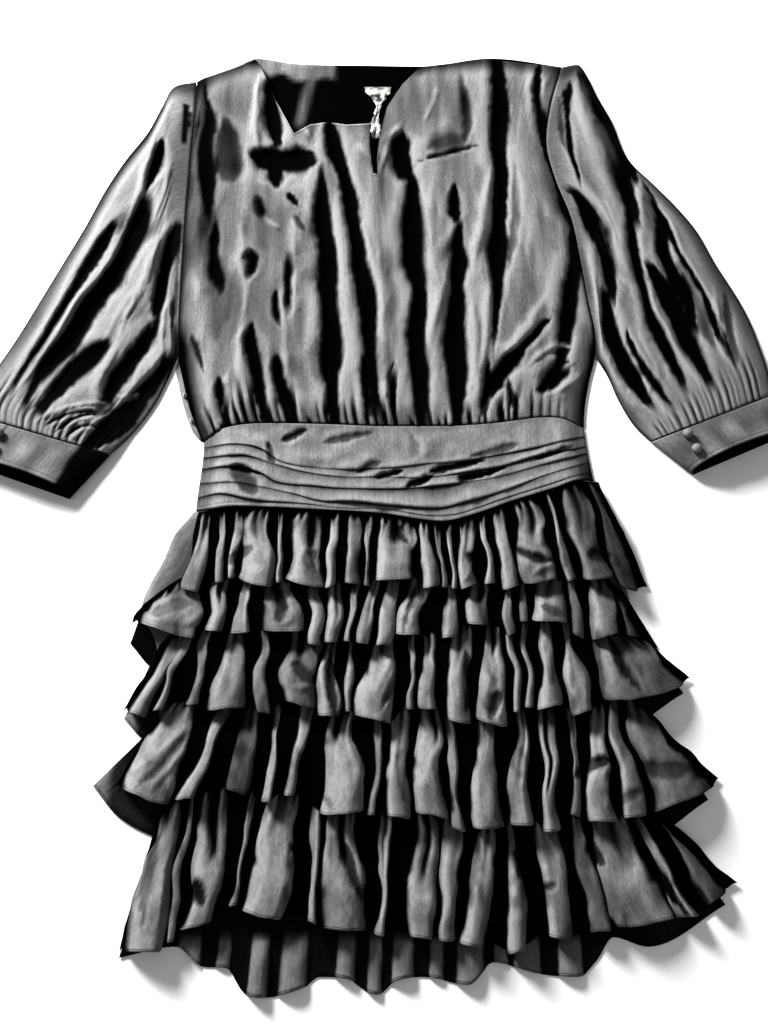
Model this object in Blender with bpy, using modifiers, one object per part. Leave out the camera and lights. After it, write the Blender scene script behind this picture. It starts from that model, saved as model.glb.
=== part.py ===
"""Tiered crepe dress laid flat on its back: bodice, bishop sleeves, waistband and five gathered tiers.

+X runs across the dress, +Y to the shoulders and +Z up; the surface that it lies on is z = 0.
Tables are in millimetres. They give each edge and fold where an eye above the hem sees it, and
under_eye() sets a point of height z back along that line of sight.
"""

import math

import bmesh
import bpy
import numpy as np

# Driving dimensions, in millimetres
MM = 0.001
EYE_HEIGHT = 630.0
WALL = 1.2
SEAM_GAP = 0.4
ARMHOLE_GAP = 0.9
RAISED_SEAM_GAP = 1.0
LAYER = WALL + 0.3  # one cloth layer and the air above it
FRONT_EDGE = LAYER + 0.5 * WALL  # middle of a front panel's wall where it meets the back panel

BODICE_LOFT = 9.5
ARMHOLE_LIFT = 7.0
ARMHOLE_OPENS_OVER = {"underarm": 50.0, "shoulder": 45.0}
SIDE_SLOPE_WIDTH = 24.0
SHOULDER_SLOPE_WIDTH = 30.0
SHOULDER_SEAM_SHARE = 0.25  # share of the bodice's loft that is left at the shoulder seam
WAIST_LIFT = 8.0
WAIST_LIFT_REACH = 30.0
WAIST_GATHERS = 35
WAIST_GATHER_RISE = 1.8
WAIST_GATHER_START = 12.0
WAIST_GATHER_REACH = 55.0

BAND_HEM_LIFT = 12.0
TUCK_RISE = 1.6
TUCK_LIP = 1.4

BASE_BACK_LIFT = 2 * LAYER
BASE_FRONT_LIFT = 3 * LAYER
TIER_SEAM_LIFT = 4 * LAYER + 0.5 * WALL
TIER_HEM_LIFT = 12.6
LAST_TIER_HEM_LIFT = 7.2
TIER_OVERLAP = 9.0
TIER_SEAM_RISE = 0.26  # share of a flute's rise that is left at its seam
TIER_MIDDLE_RISE = 0.8
TIER_GATHERED_DEPTH = 22.0
TIER_SEAM_POINTS = 17
FLUTE_HALF_WIDTH = 0.42  # share of the stated width, so that flutes stay apart
FLUTE_SEAM_WIDTH = 0.72
FLUTE_REACH = 26.0  # a flute's hem sets the next seam's height this far to each side
FLUTE_CLEARANCE = 3.0
VALLEY_RAISE = 2.5
END_CLEARANCE = 5.0
BACK_CLEARANCE = 4.0
BACK_STEP = 10.0
BACK_FLAT_SHARE = 0.3  # least share of a back tier's depth that lies on the bed

SLEEVE_LOFT = 8.0
CUFF_LOFT = 17.0
SLEEVE_EDGE_LIFT = 2.2
SLEEVE_GATHER_RISE = 1.6
SLEEVE_STATIONS = (0, 0.05, 0.13, 0.24, 0.36, 0.48, 0.6, 0.72, 0.83, 0.93, 1.0)
ARMHOLE_PLAN_SHARE = 0.35  # share of the sleeve's length over which it leaves the armhole's curve
ARMHOLE_LIFT_SHARE = 0.12
CUFF_LIFT_SHARE = 0.28
SLEEVE_GATHER_SHARE = 0.22
CUFF_STATIONS = (0.0, 0.33, 0.67, 1.0)
EDGE_SHARES = (0.02, 0.98)  # where the cloth has turned over a sleeve's edge
CUFF_GAP = 1.2
CUFF_FLARE = 3.0
CUFF_SETBACK = 0.22
CUFF_TRIES = 61  # places tried across and down a cuff to find the height below a button

BUTTON_RADIUS = 4.6
BUTTON_SQUASH = 0.9
STUD_RADIUS = 1.7
TAPE_WALL = 1.0


def table(columns, *rows):
    """Rows of numbers under named columns, as one array for each column."""
    return dict(zip(columns.split(), np.array(rows, float).T))


# Sides of the bodice, from the waist to the shoulder points; the armholes start at y = 392
BODICE_SIDES = table(
    "y left right",
    (295, -161, 180),
    (335, -178, 184),
    (365, -187, 191),
    (392, -194, 199),
    (420, -196, 201),
    (455, -198, 198),
    (500, -200, 195),
    (555, -202, 190),
    (605, -203, 178),
    (650, -204, 172),
    (705, -205, 180),
    (770, -207, 199),
)
UNDERARM_Y = 392.0
SHOULDER_Y = {"left": 742.0, "right": 764.0}

# Seam between bodice and waistband
WAIST_SEAM = table(
    "x y",
    (-163, 303),
    (-148, 317),
    (-100, 323),
    (-50, 322),
    (0, 320),
    (50, 320),
    (100, 323),
    (150, 329),
    (165, 327),
    (181, 318),
)
SHOULDER_LINE = table("x y", (-206, 742), (-144, 776), (120, 776), (199, 764))
# Top edge of the front: left shoulder, neck edge, neckline, slit, neck edge, right shoulder
FRONT_TOP = table(
    "x y",
    (-206, 742),
    (-200, 747),
    (-160, 766),
    (-144, 776),
    (-137, 765),
    (-118, 715),
    (-96, 668),
    (-80, 680),
    (-60, 684),
    (-40, 680),
    (-15, 682),
    (-11, 614),
    (-7, 612),
    (3, 704),
    (20, 738),
    (40, 764),
    (90, 772),
    (120, 776),
    (175, 767),
    (197, 764),
)
BACK_TOP = table(
    "x y",
    (-206, 742),
    (-160, 767),
    (-144, 777),
    (-100, 769),
    (-12, 766),
    (40, 765),
    (120, 777),
    (197, 764),
)

# Creases of the bodice front: a smooth line through three points, its half width and its rise
BODICE_CREASES = table(
    "x1 y1 x2 y2 x3 y3 half rise",
    (-190, 725, -189, 650, -188, 570, 13, -6.5),
    (-173, 556, -166, 505, -162, 455, 9, -5),
    (-136, 745, -128, 690, -105, 628, 11, -6.5),
    (-103, 530, -106, 440, -104, 340, 6, -4.5),
    (-60, 600, -53, 460, -42, 335, 8, -7),
    (-62, 675, -33, 570, -7, 340, 8, -7),
    (20, 668, 22, 500, 31, 335, 9, -7),
    (75, 590, 72, 460, 72, 335, 9, -7),
    (126, 768, 122, 600, 104, 410, 7, -7),
    (172, 766, 176, 610, 163, 400, 8, -7),
    (150, 415, 125, 395, 98, 368, 7, -5.5),
    (188, 455, 168, 395, 156, 345, 8, -6),
    (-133, 415, -125, 385, -119, 340, 6, -5),
    (-112, 398, -104, 360, -96, 335, 5, -4.5),
    (-144, 776, -146, 700, -132, 600, 5, 3),
    (-128, 740, -118, 700, -98, 660, 7, 3),
    (35, 626, 70, 641, 106, 652, 6, -3.5),
    (163, 475, 135, 420, 98, 376, 5, 3),
)

# Soft tucks across the waistband: the height of each at four places across
BAND_TUCKS = table(
    "left middle_left middle_right right",
    (299, 284, 281, 309),
    (289, 275, 272, 300),
    (279, 262, 262, 292),
    (254, 247, 239, 281),
)
TUCK_PLACES = np.array([-162.0, -60.0, 45.0, 182.0])
BAND_SIDES = table(
    "y left right",
    (225, -164, 192),
    (240, -164, 189),
    (290, -162, 183),
    (330, -166, 181),
)
BAND_HEM = table(
    "x y",
    (-164, 236),
    (-130, 241),
    (-60, 238),
    (0, 234),
    (30, 229),
    (50, 227),
    (80, 234),
    (110, 245),
    (150, 258),
    (175, 266),
    (190, 264),
)

# Plain foundation that carries the tiers
BASE_SIDES = table(
    "y left right",
    (-10, -166, 196),
    (60, -178, 198),
    (120, -187, 200),
    (150, -202, 199),
    (170, -197, 198),
    (190, -188, 196),
    (215, -180, 193),
    (240, -164, 189),
    (270, -163, 187),
)
BASE_LOW_Y = -8.0

# Section of one flute: share of its half width to each side and of its rise
FLUTE_PROFILE = table("side rise", (-1, 0), (-0.7, 1), (0.7, 1), (1, 0))
# Flutes of each tier's front: where each leaves the seam and ends at the hem, width, rise, hem height
TIER_FLUTES = [
    table(
        "top hem width rise low",
        (-152, -163, 14, 9, 166),
        (-137, -140, 9, 8, 172),
        (-123, -127, 9, 8, 175),
        (-105, -107, 26, 12, 170),
        (-66, -67, 26, 12, 170),
        (-42, -47, 12, 12, 167),
        (-27, -28, 13, 9, 170),
        (-12, -15, 8, 11, 170),
        (10, 8, 34, 13, 173),
        (34, 40, 13, 12, 167),
        (46, 51, 6, 8, 166),
        (58, 61, 7, 9, 165),
        (74, 75, 17, 12, 166),
        (88, 91, 9, 9, 170),
        (99, 107, 14, 11, 165),
        (122, 131, 28, 13, 172),
        (142, 161, 11, 10, 172),
        (163, 184, 20, 11, 172),
        (180, 206, 14, 8, 166),
    ),
    table(
        "top hem width rise low",
        (-174, -182, 40, 10, 130),
        (-136, -146, 16, 11, 131),
        (-112, -118, 16, 11, 129),
        (-88, -86, 28, 12, 131),
        (-58, -56, 13, 12, 120),
        (-41, -43, 13, 12, 121),
        (-22, -30, 9, 10, 122),
        (-5, -16, 12, 12, 120),
        (10, -1, 10, 11, 119),
        (30, 20, 22, 12, 129),
        (58, 54, 12, 9, 124),
        (81, 77, 16, 12, 135),
        (102, 104, 10, 10, 132),
        (120, 118, 8, 9, 138),
        (144, 139, 24, 13, 139),
        (158, 161, 10, 11, 128),
        (180, 182, 22, 12, 121),
        (194, 205, 12, 7, 125),
    ),
    table(
        "top hem width rise low",
        (-170, -197, 13, 9, 64),
        (-157, -180, 11, 9, 66),
        (-143, -153, 12, 9, 72),
        (-124, -127, 28, 12, 68),
        (-101, -96, 14, 9, 64),
        (-66, -68, 26, 12, 72),
        (-44, -42, 18, 9, 62),
        (-2, -12, 30, 13, 58),
        (23, 19, 8, 9, 68),
        (37, 34, 14, 12, 68),
        (62, 60, 20, 13, 57),
        (89, 85, 20, 13, 54),
        (105, 104, 8, 10, 65),
        (117, 116, 7, 8, 68),
        (132, 132, 18, 13, 68),
        (150, 157, 18, 13, 64),
        (178, 198, 34, 9, 74),
        (204, 230, 16, 8, 85),
    ),
    table(
        "top hem width rise low",
        (-155, -184, 36, 10, 0),
        (-122, -151, 12, 11, 0),
        (-101, -114, 20, 8, 4),
        (-84, -91, 9, 10, -2),
        (-60, -72, 10, 9, 2),
        (-30, -33, 30, 13, -9),
        (-3, -10, 8, 9, -10),
        (14, 9, 14, 11, -13),
        (36, 31, 17, 13, -10),
        (52, 54, 16, 13, -22),
        (80, 80, 20, 14, -21),
        (106, 105, 18, 12, -18),
        (130, 128, 11, 11, -22),
        (150, 147, 12, 9, -16),
        (168, 165, 16, 12, -16),
        (183, 190, 18, 9, -13),
        (198, 216, 16, 9, -8),
        (207, 240, 16, 8, 3),
    ),
    table(
        "top hem width rise low",
        (-161, -174, 24, 12, -102),
        (-148, -156, 8, 10, -90),
        (-134, -142, 12, 10, -89),
        (-120, -128, 12, 8, -86),
        (-101, -111, 10, 9, -76),
        (-77, -88, 26, 11, -80),
        (-51, -54, 9, 11, -85),
        (-33, -30, 28, 13, -89),
        (2, -3, 9, 12, -93),
        (32, 27, 18, 12, -94),
        (52, 47, 13, 12, -95),
        (77, 66, 16, 13, -99),
        (96, 94, 9, 12, -102),
        (121, 127, 17, 12, -95),
        (148, 158, 22, 9, -90),
        (171, 192, 24, 11, -84),
        (190, 224, 18, 10, -80),
        (205, 246, 14, 8, -68),
    ),
]
# Both ends of each tier's front, at its seam and at its hem
TIER_ENDS = table(
    "left_top left_top_y left_hem left_hem_y right_top right_top_y right_hem right_hem_y",
    (-162, 235, -172, 168, 189, 263, 222, 168),
    (-200, 154, -208, 138, 201, 164, 218, 128),
    (-184, 119, -208, 67, 212, 128, 247, 92),
    (-184, 52, -208, 10, 213, 64, 259, 15),
    (-171, -6, -190, -103, 216, -15, 262, -58),
)
# Hem of each tier's back, which shows at the sides and below the last front tier
BACK_HEMS = [
    table("x y", (-168, 158), (0, 158), (206, 152)),
    table("x y", (-208, 120), (-186, 101), (0, 103), (170, 103), (224, 117)),
    table("x y", (-206, 60), (-187, 45), (0, 45), (170, 45), (240, 80)),
    table("x y", (-224, 10), (-202, -12), (-150, -30), (0, -34), (190, -30), (248, 0)),
    table(
        "x y",
        (-190, -106),
        (-150, -99),
        (-132, -111),
        (-112, -113),
        (-100, -127),
        (-88, -131),
        (-56, -124),
        (-46, -118),
        (-28, -119),
        (-5, -129),
        (8, -121),
        (28, -118),
        (60, -123),
        (78, -109),
        (110, -116),
        (138, -118),
        (152, -108),
        (166, -93),
        (190, -99),
        (250, -72),
    ),
]
# Seam of each tier's back, but the first one's, which is on the waistband
BACK_SEAM_Y = {1: 180.0, 2: 128.0, 3: 74.0, 4: 4.0}
# Flutes of the last back tier, seen below the front hem
BACK_FLUTES = table(
    "x half rise",
    (-140, 9, 4),
    (-89, 7, 8),
    (-64, 10, 7),
    (-27, 7, 7),
    (14, 8, 7),
    (62, 10, 7),
    (103, 10, 5),
    (134, 9, 6),
)
BACK_FLUTES_START_Y = -84.0
BACK_FLUTES_FULL_Y = -116.0

# Outer and inner edge of each sleeve, from the armhole to the cuff
SLEEVE_OUTER = {
    "left": table(
        "x y",
        (-207, 742),
        (-230, 735),
        (-241, 705),
        (-252, 670),
        (-272, 630),
        (-288, 590),
        (-302, 545),
        (-318, 500),
        (-334, 455),
        (-350, 411),
        (-366, 372),
        (-374, 345),
        (-372, 330),
    ),
    "right": table(
        "x y",
        (199, 764),
        (216, 768),
        (226, 748),
        (233, 722),
        (245, 685),
        (257, 632),
        (280, 598),
        (300, 568),
        (315, 540),
        (328, 500),
        (345, 455),
        (352, 430),
        (357, 400),
        (360, 372),
        (360, 352),
    ),
}
SLEEVE_INNER = {
    "left": table("x y", (-195, 392), (-202, 368), (-212, 340), (-228, 312), (-246, 291)),
    "right": table("x y", (200, 392), (209, 372), (217, 345), (228, 320), (241, 304)),
}
# Lower edge of each cuff, outer and inner corner
CUFF_CORNERS = {
    "left": table("x y", (-390, 288), (-277, 248)),
    "right": table("x y", (374, 314), (275, 271)),
}
SLEEVE_CREASES = {
    "left": table(
        "x1 y1 x2 y2 x3 y3 half rise",
        (-236, 655, -256, 540, -330, 345, 11, -7),
        (-272, 575, -310, 480, -345, 375, 7, -5),
        (-212, 545, -216, 480, -226, 395, 8, -6),
        (-215, 375, -238, 335, -266, 302, 9, -5),
        (-276, 405, -305, 378, -325, 348, 6, -5),
        (-249, 670, -270, 560, -345, 350, 5, 3),
        (-225, 690, -236, 540, -275, 360, 10, 3),
        (-203, 515, -209, 430, -265, 320, 4, 3),
    ),
    "right": table(
        "x1 y1 x2 y2 x3 y3 half rise",
        (218, 735, 248, 580, 275, 375, 8, -7),
        (202, 735, 214, 520, 224, 380, 8, -7),
        (268, 600, 296, 500, 322, 410, 7, -5),
        (276, 500, 290, 430, 300, 390, 7, -5),
        (231, 410, 245, 365, 262, 330, 6, -5),
        (218, 735, 240, 520, 257, 375, 10, 3),
        (188, 555, 199, 470, 216, 380, 4, 3),
        (262, 470, 277, 415, 300, 350, 4, 3),
        (325, 520, 331, 450, 330, 375, 6, 2),
    ),
}
# Covered buttons by the cuff's overlap, with each one's height over the cuff below its middle
CUFF_BUTTONS = {
    "left": table("x y over", (-350, 313, 0.45), (-353, 299, 0.7)),
    "right": table("x y over", (276, 312, -0.88), (282, 297, -1.15)),
}
# Press studs at the left side placket
PRESS_STUDS = table("x y", (-185.4, 351), (-176.4, 325))
PLACKET_UNDERLAP = 5.0
PLACKET_Y = (300.0, 390.0)

# Crumpled satin tape inside the back neck
NECK_TAPE = table(
    "y centre width lift",
    (661, -9, 7, 2.5),
    (672, -9, 9, 3.7),
    (686, -9, 9, 2.7),
    (698, -7, 5, 3.3),
    (708, -6, 6, 4.3),
    (718, -5, 15, 2.9),
    (727, -6, 27, 3.9),
    (735, -6, 31, 2.3),
)
TAPE_CRUMPLE = np.array([0.0, 0.5, -0.3, 0.55, 0.1])


def under_eye(points):
    """Sets points back along the line of sight to their real place above the bed."""
    scale = 1 - points[..., 2:3] / EYE_HEIGHT
    return np.concatenate([points[..., :2] * scale, points[..., 2:3]], axis=-1)


def ease(value):
    """Smooth step from 0 to 1."""
    value = np.clip(value, 0.0, 1.0)
    return value * value * (3 - 2 * value)


def along(line, share):
    """Point at a share of a table's polyline, by its length."""
    steps = np.hypot(np.diff(line["x"]), np.diff(line["y"]))
    length = np.concatenate([[0], np.cumsum(steps)]) / steps.sum()
    return np.stack([np.interp(share, length, line["x"]), np.interp(share, length, line["y"])], axis=-1)


def crease_heights(x, y, creases, samples=8):
    """What all creases of a table add to the height at (x, y)."""
    total = np.zeros_like(x)
    share = np.linspace(0, 1, samples + 1)
    for x1, y1, x2, y2, x3, y3, half, rise in zip(*creases.values()):
        bend = [(1 - share) * (1 - 2 * share), 4 * share * (1 - share), share * (2 * share - 1)]
        line_x = bend[0] * x1 + bend[1] * x2 + bend[2] * x3
        line_y = bend[0] * y1 + bend[1] * y2 + bend[2] * y3
        nearest = np.full_like(x, np.inf)
        place = np.zeros_like(x)
        for i in range(samples):
            step_x = line_x[i + 1] - line_x[i]
            step_y = line_y[i + 1] - line_y[i]
            reach = (x - line_x[i]) * step_x + (y - line_y[i]) * step_y
            part = np.clip(reach / (step_x**2 + step_y**2), 0, 1)
            away = np.hypot(x - line_x[i] - part * step_x, y - line_y[i] - part * step_y)
            closer = away < nearest
            nearest = np.where(closer, away, nearest)
            place = np.where(closer, (i + part) / samples, place)
        fade = ease(place / 0.15) * ease((1 - place) / 0.15)
        total += rise * fade * np.exp(-((nearest / half) ** 2))
    return total


def sides_at(sides, y):
    return np.interp(y, sides["y"], sides["left"]), np.interp(y, sides["y"], sides["right"])


def across_of(sides, edge):
    """An edge's points as shares of the way from the left side to the right one."""
    left, right = sides_at(sides, edge["y"])
    return (edge["x"] - left) / (right - left)


def add_material(name, colour, roughness, metallic=0.0):
    material = bpy.data.materials.new(name)
    material.use_nodes = True
    shader = material.node_tree.nodes["Principled BSDF"]
    shader.inputs["Base Color"].default_value = (*colour, 1)
    shader.inputs["Roughness"].default_value = roughness
    shader.inputs["Metallic"].default_value = metallic
    material.diffuse_color = (*colour, 1)
    return material


def add_object(name, mesh, material):
    obj = bpy.data.objects.new(name, mesh)
    obj.data.materials.append(material)
    dress.objects.link(obj)
    obj.parent = dress_origin
    return obj


def add_cloth(name, grid, material, ring=False, up=False):
    """A cloth wall on a grid of points: rows of points, left to right, from the hem up.

    A ring's rows close on themselves. The wall lies about the points, or on top of them with up.
    """
    rows, columns = grid.shape[:2]
    cage = bmesh.new()
    bmesh.ops.create_grid(cage, x_segments=columns - 1 + ring, y_segments=rows - 1, size=1)
    cage.verts.ensure_lookup_table()
    width = columns + ring
    points = under_eye(grid) * MM
    for i, vert in enumerate(cage.verts):
        vert.co = points[i // width, i % width % columns]
    if ring:
        bmesh.ops.remove_doubles(cage, verts=cage.verts, dist=1e-7)
    mesh = bpy.data.meshes.new(name)
    cage.to_mesh(mesh)
    cage.free()
    mesh.shade_smooth()
    obj = add_object(name, mesh, material)
    wall = obj.modifiers.new("wall", "SOLIDIFY")
    wall.thickness = WALL * MM
    wall.offset = 1 if up else 0
    return obj


def panel_grid(sides, low, high, columns, levels):
    """Flat grid of a panel between its low and high edge. Levels are heights of the side edges."""
    low_y = np.interp(columns, across_of(sides, low), low["y"])
    high_y = np.interp(columns, across_of(sides, high), high["y"])
    rows = []
    for level in levels:
        left = (level - low_y[0]) / (high_y[0] - low_y[0])
        right = (level - low_y[-1]) / (high_y[-1] - low_y[-1])
        up = left + (right - left) * columns
        rows.append(low_y + (high_y - low_y) * up)
    y = np.array([low_y, *rows, high_y])
    left, right = sides_at(sides, y)
    return left + (right - left) * columns, y


def bodice_levels():
    """Heights of the bodice's rows: every bend of its sides between the waist and the shoulders."""
    heights = BODICE_SIDES["y"]
    return heights[(heights > WAIST_SEAM["y"].max()) & (heights < min(SHOULDER_Y.values()))]


def seam_columns(sides, *edges):
    """Shares across a panel at every bend of its edges, so that both sides of a seam bend together."""
    bends = np.concatenate([[0.0, 1.0], *[across_of(sides, edge) for edge in edges]]).clip(0, 1)
    bends = np.unique(bends.round(4))
    return bends[np.concatenate([[True], np.diff(bends) > 0.003])]


def lower(edge, amount):
    return {"x": edge["x"], "y": edge["y"] - amount}


def armhole_lift(y, shoulder_y):
    """The front's edge lies on the back at the underarm and the shoulder, and stands off between them."""
    opened = ease((y - UNDERARM_Y) / ARMHOLE_OPENS_OVER["underarm"])
    opened *= ease((shoulder_y - y) / ARMHOLE_OPENS_OVER["shoulder"])
    return FRONT_EDGE + (ARMHOLE_LIFT - FRONT_EDGE) * opened


def make_bodice(crepe):
    even = np.arange(2 * WAIST_GATHERS + 1) / (2 * WAIST_GATHERS)
    corners = across_of(BODICE_SIDES, FRONT_TOP)[7:16]
    fixed = np.union1d(corners, seam_columns(BODICE_SIDES, WAIST_SEAM))
    spaced = even[np.abs(even[:, None] - fixed).min(axis=1) > 0.005]
    columns = np.union1d(spaced, fixed)
    x, y = panel_grid(BODICE_SIDES, WAIST_SEAM, FRONT_TOP, columns, bodice_levels())
    left, right = sides_at(BODICE_SIDES, y)
    shoulder_y = np.where(columns < 0.5, SHOULDER_Y["left"], SHOULDER_Y["right"])
    edge = armhole_lift(y, shoulder_y)
    from_sides = ease(np.minimum(x - left, right - x) / SIDE_SLOPE_WIDTH)
    from_shoulder = np.interp(x, SHOULDER_LINE["x"], SHOULDER_LINE["y"]) - y
    lofted = SHOULDER_SEAM_SHARE + (1 - SHOULDER_SEAM_SHARE) * ease(from_shoulder / SHOULDER_SLOPE_WIDTH)
    inward = from_sides * lofted
    z = edge + (BODICE_LOFT - edge) * inward
    z += crease_heights(x, y, BODICE_CREASES) * inward
    above_waist = y - y[0]
    waist = edge + (WAIST_LIFT - edge) * from_sides
    z = waist + (z - waist) * ease(above_waist / WAIST_LIFT_REACH)
    gathers = np.cos(math.pi * 2 * WAIST_GATHERS * columns) * WAIST_GATHER_RISE * inward
    gathers *= ease(above_waist / WAIST_GATHER_START)
    z += gathers * ease(1 - above_waist / WAIST_GATHER_REACH)
    z = np.maximum(z, FRONT_EDGE)
    add_cloth("bodice_front", np.stack([x, y, z], axis=-1), crepe)

    columns = seam_columns(BODICE_SIDES, BACK_TOP, WAIST_SEAM)
    x, y = panel_grid(BODICE_SIDES, WAIST_SEAM, BACK_TOP, columns, bodice_levels())
    placket = (columns == 0) & (y > PLACKET_Y[0]) & (y < PLACKET_Y[1])
    x = np.where(placket, x - PLACKET_UNDERLAP, x)
    add_cloth("bodice_back", np.stack([x, y, np.zeros_like(x)], axis=-1), crepe, up=True)


def make_neck_tape(satin):
    across = np.linspace(-0.5, 0.5, len(TAPE_CRUMPLE))
    rows = []
    for y, centre, width, lift in zip(*NECK_TAPE.values()):
        rows.append(np.stack([centre + width * across, y + 0 * across, lift + TAPE_CRUMPLE], axis=-1))
    tape = add_cloth("neck_tape", np.array(rows), satin)
    tape.modifiers["wall"].thickness = TAPE_WALL * MM


def make_waistband(crepe):
    band_top = lower(WAIST_SEAM, RAISED_SEAM_GAP)
    columns = seam_columns(BAND_SIDES, band_top, BAND_HEM)
    low_y = np.interp(columns, across_of(BAND_SIDES, BAND_HEM), BAND_HEM["y"])
    high_y = np.interp(columns, across_of(BAND_SIDES, band_top), band_top["y"])
    left, right = sides_at(BAND_SIDES, BAND_SIDES["y"][1])
    across = left + (right - left) * columns
    lines = [(low_y, 0.0)]
    for heights in reversed(list(zip(*BAND_TUCKS.values()))):
        tuck_y = np.interp(across, TUCK_PLACES, heights)
        lines.append((tuck_y - TUCK_LIP, 0.0))
        lines.append((tuck_y, TUCK_RISE))
    lines.append((high_y, 0.0))
    y = np.array([line for line, rise in lines])
    rise = np.array([rise for line, rise in lines])[:, None]
    left, right = sides_at(BAND_SIDES, y)
    x = left + (right - left) * columns
    up = (y - low_y) / (high_y - low_y)
    loft = BAND_HEM_LIFT + (WAIST_LIFT - BAND_HEM_LIFT) * up
    inward = ease(np.minimum(x - left, right - x) / SIDE_SLOPE_WIDTH)
    z = FRONT_EDGE + (loft - FRONT_EDGE + rise) * inward
    add_cloth("waistband_front", np.stack([x, y, z], axis=-1), crepe)

    y = np.linspace(low_y, high_y + RAISED_SEAM_GAP - SEAM_GAP, 3)
    left, right = sides_at(BAND_SIDES, y)
    x = left + (right - left) * columns
    add_cloth("waistband_back", np.stack([x, y, 0 * x], axis=-1), crepe, up=True)


def make_base(crepe):
    """Foundation of the skirt, front and back, between the waistband and the last tier's seam."""
    band_low = lower(BAND_HEM, RAISED_SEAM_GAP)
    base_low = table("x y", (-167, BASE_LOW_Y), (196, BASE_LOW_Y))
    columns = seam_columns(BASE_SIDES, band_low)
    levels = BASE_SIDES["y"][1:-2]
    x, y = panel_grid(BASE_SIDES, base_low, band_low, columns, levels)
    for name, lift in (("skirt_base_front", BASE_FRONT_LIFT), ("skirt_base_back", BASE_BACK_LIFT)):
        add_cloth(name, np.stack([x, y, lift + 0 * x], axis=-1), crepe, up=True)


def tier_seam(index):
    """Seam line of a tier's front: just above the highest hem of the tier over it, and its two ends."""
    ends = {name: column[index] for name, column in TIER_ENDS.items()}
    if index == 0:
        return lower(BAND_HEM, RAISED_SEAM_GAP)
    above = TIER_FLUTES[index - 1]
    x = np.linspace(ends["left_top"], ends["right_top"], TIER_SEAM_POINTS)
    near = np.abs(above["hem"][:, None] - x) < FLUTE_REACH
    y = np.where(near, above["low"][:, None], -np.inf).max(axis=0) + TIER_OVERLAP
    y = np.interp(x, x[np.isfinite(y)], y[np.isfinite(y)])
    y[0] = ends["left_top_y"]
    y[-1] = ends["right_top_y"]
    return {"x": x, "y": y}


def spread_flutes(centres, widths):
    """Half widths of a row of flutes, so that neighbours keep clear of each other."""
    half = FLUTE_HALF_WIDTH * widths
    room = np.diff(centres) - FLUTE_CLEARANCE
    share = np.minimum(1, room / (half[:-1] + half[1:]))
    tight = np.minimum(np.append(share, 1), np.insert(share, 0, 1))
    return half * tight


def make_tier_front(index, crepe):
    flutes = TIER_FLUTES[index]
    ends = {name: column[index] for name, column in TIER_ENDS.items()}
    seam = tier_seam(index)
    last = index == len(TIER_FLUTES) - 1
    top_half = spread_flutes(flutes["top"], FLUTE_SEAM_WIDTH * flutes["width"])
    hem_half = spread_flutes(flutes["hem"], flutes["width"])
    top_x = (flutes["top"][:, None] + top_half[:, None] * FLUTE_PROFILE["side"]).ravel()
    hem_x = (flutes["hem"][:, None] + hem_half[:, None] * FLUTE_PROFILE["side"]).ravel()
    rise = (flutes["rise"][:, None] * FLUTE_PROFILE["rise"]).ravel()
    low_y = (flutes["low"][:, None] + VALLEY_RAISE * (1 - FLUTE_PROFILE["rise"])).ravel()
    top_x = np.concatenate([[ends["left_top"]], top_x, [ends["right_top"]]])
    hem_x = np.concatenate([[ends["left_hem"]], hem_x, [ends["right_hem"]]])
    low_y = np.concatenate([[ends["left_hem_y"]], low_y, [ends["right_hem_y"]]])
    rise = np.concatenate([[0], rise, [0]])
    is_end = np.zeros(len(rise), bool)
    is_end[[0, -1]] = True
    top_y = np.interp(top_x, seam["x"], seam["y"])
    depth = top_y - low_y
    gathered = np.clip(TIER_GATHERED_DEPTH / depth, 0.2, 0.55)
    hem_lift = LAST_TIER_HEM_LIFT if last else TIER_HEM_LIFT
    base_left, base_right = sides_at(BASE_SIDES, low_y)
    beyond = (hem_x < base_left - END_CLEARANCE) | (hem_x > base_right + END_CLEARANCE)
    end_lift = np.where(beyond, LAYER + FRONT_EDGE, hem_lift)
    rows = []
    for down, lift, share in (
        (np.ones_like(depth), hem_lift, 1.0),
        ((1 + gathered) / 2, hem_lift, TIER_MIDDLE_RISE),
        (gathered, TIER_SEAM_LIFT, TIER_SEAM_RISE),
        (0 * depth, TIER_SEAM_LIFT, TIER_SEAM_RISE),
    ):
        x = top_x + (hem_x - top_x) * down
        y = top_y - depth * down
        z = lift + rise * share
        if lift == hem_lift:
            z = np.where(is_end, end_lift, z)
        rows.append(np.stack([x, y, z], axis=-1))
    add_cloth(f"tier_{index + 1}_front", np.array(rows), crepe)


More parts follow.
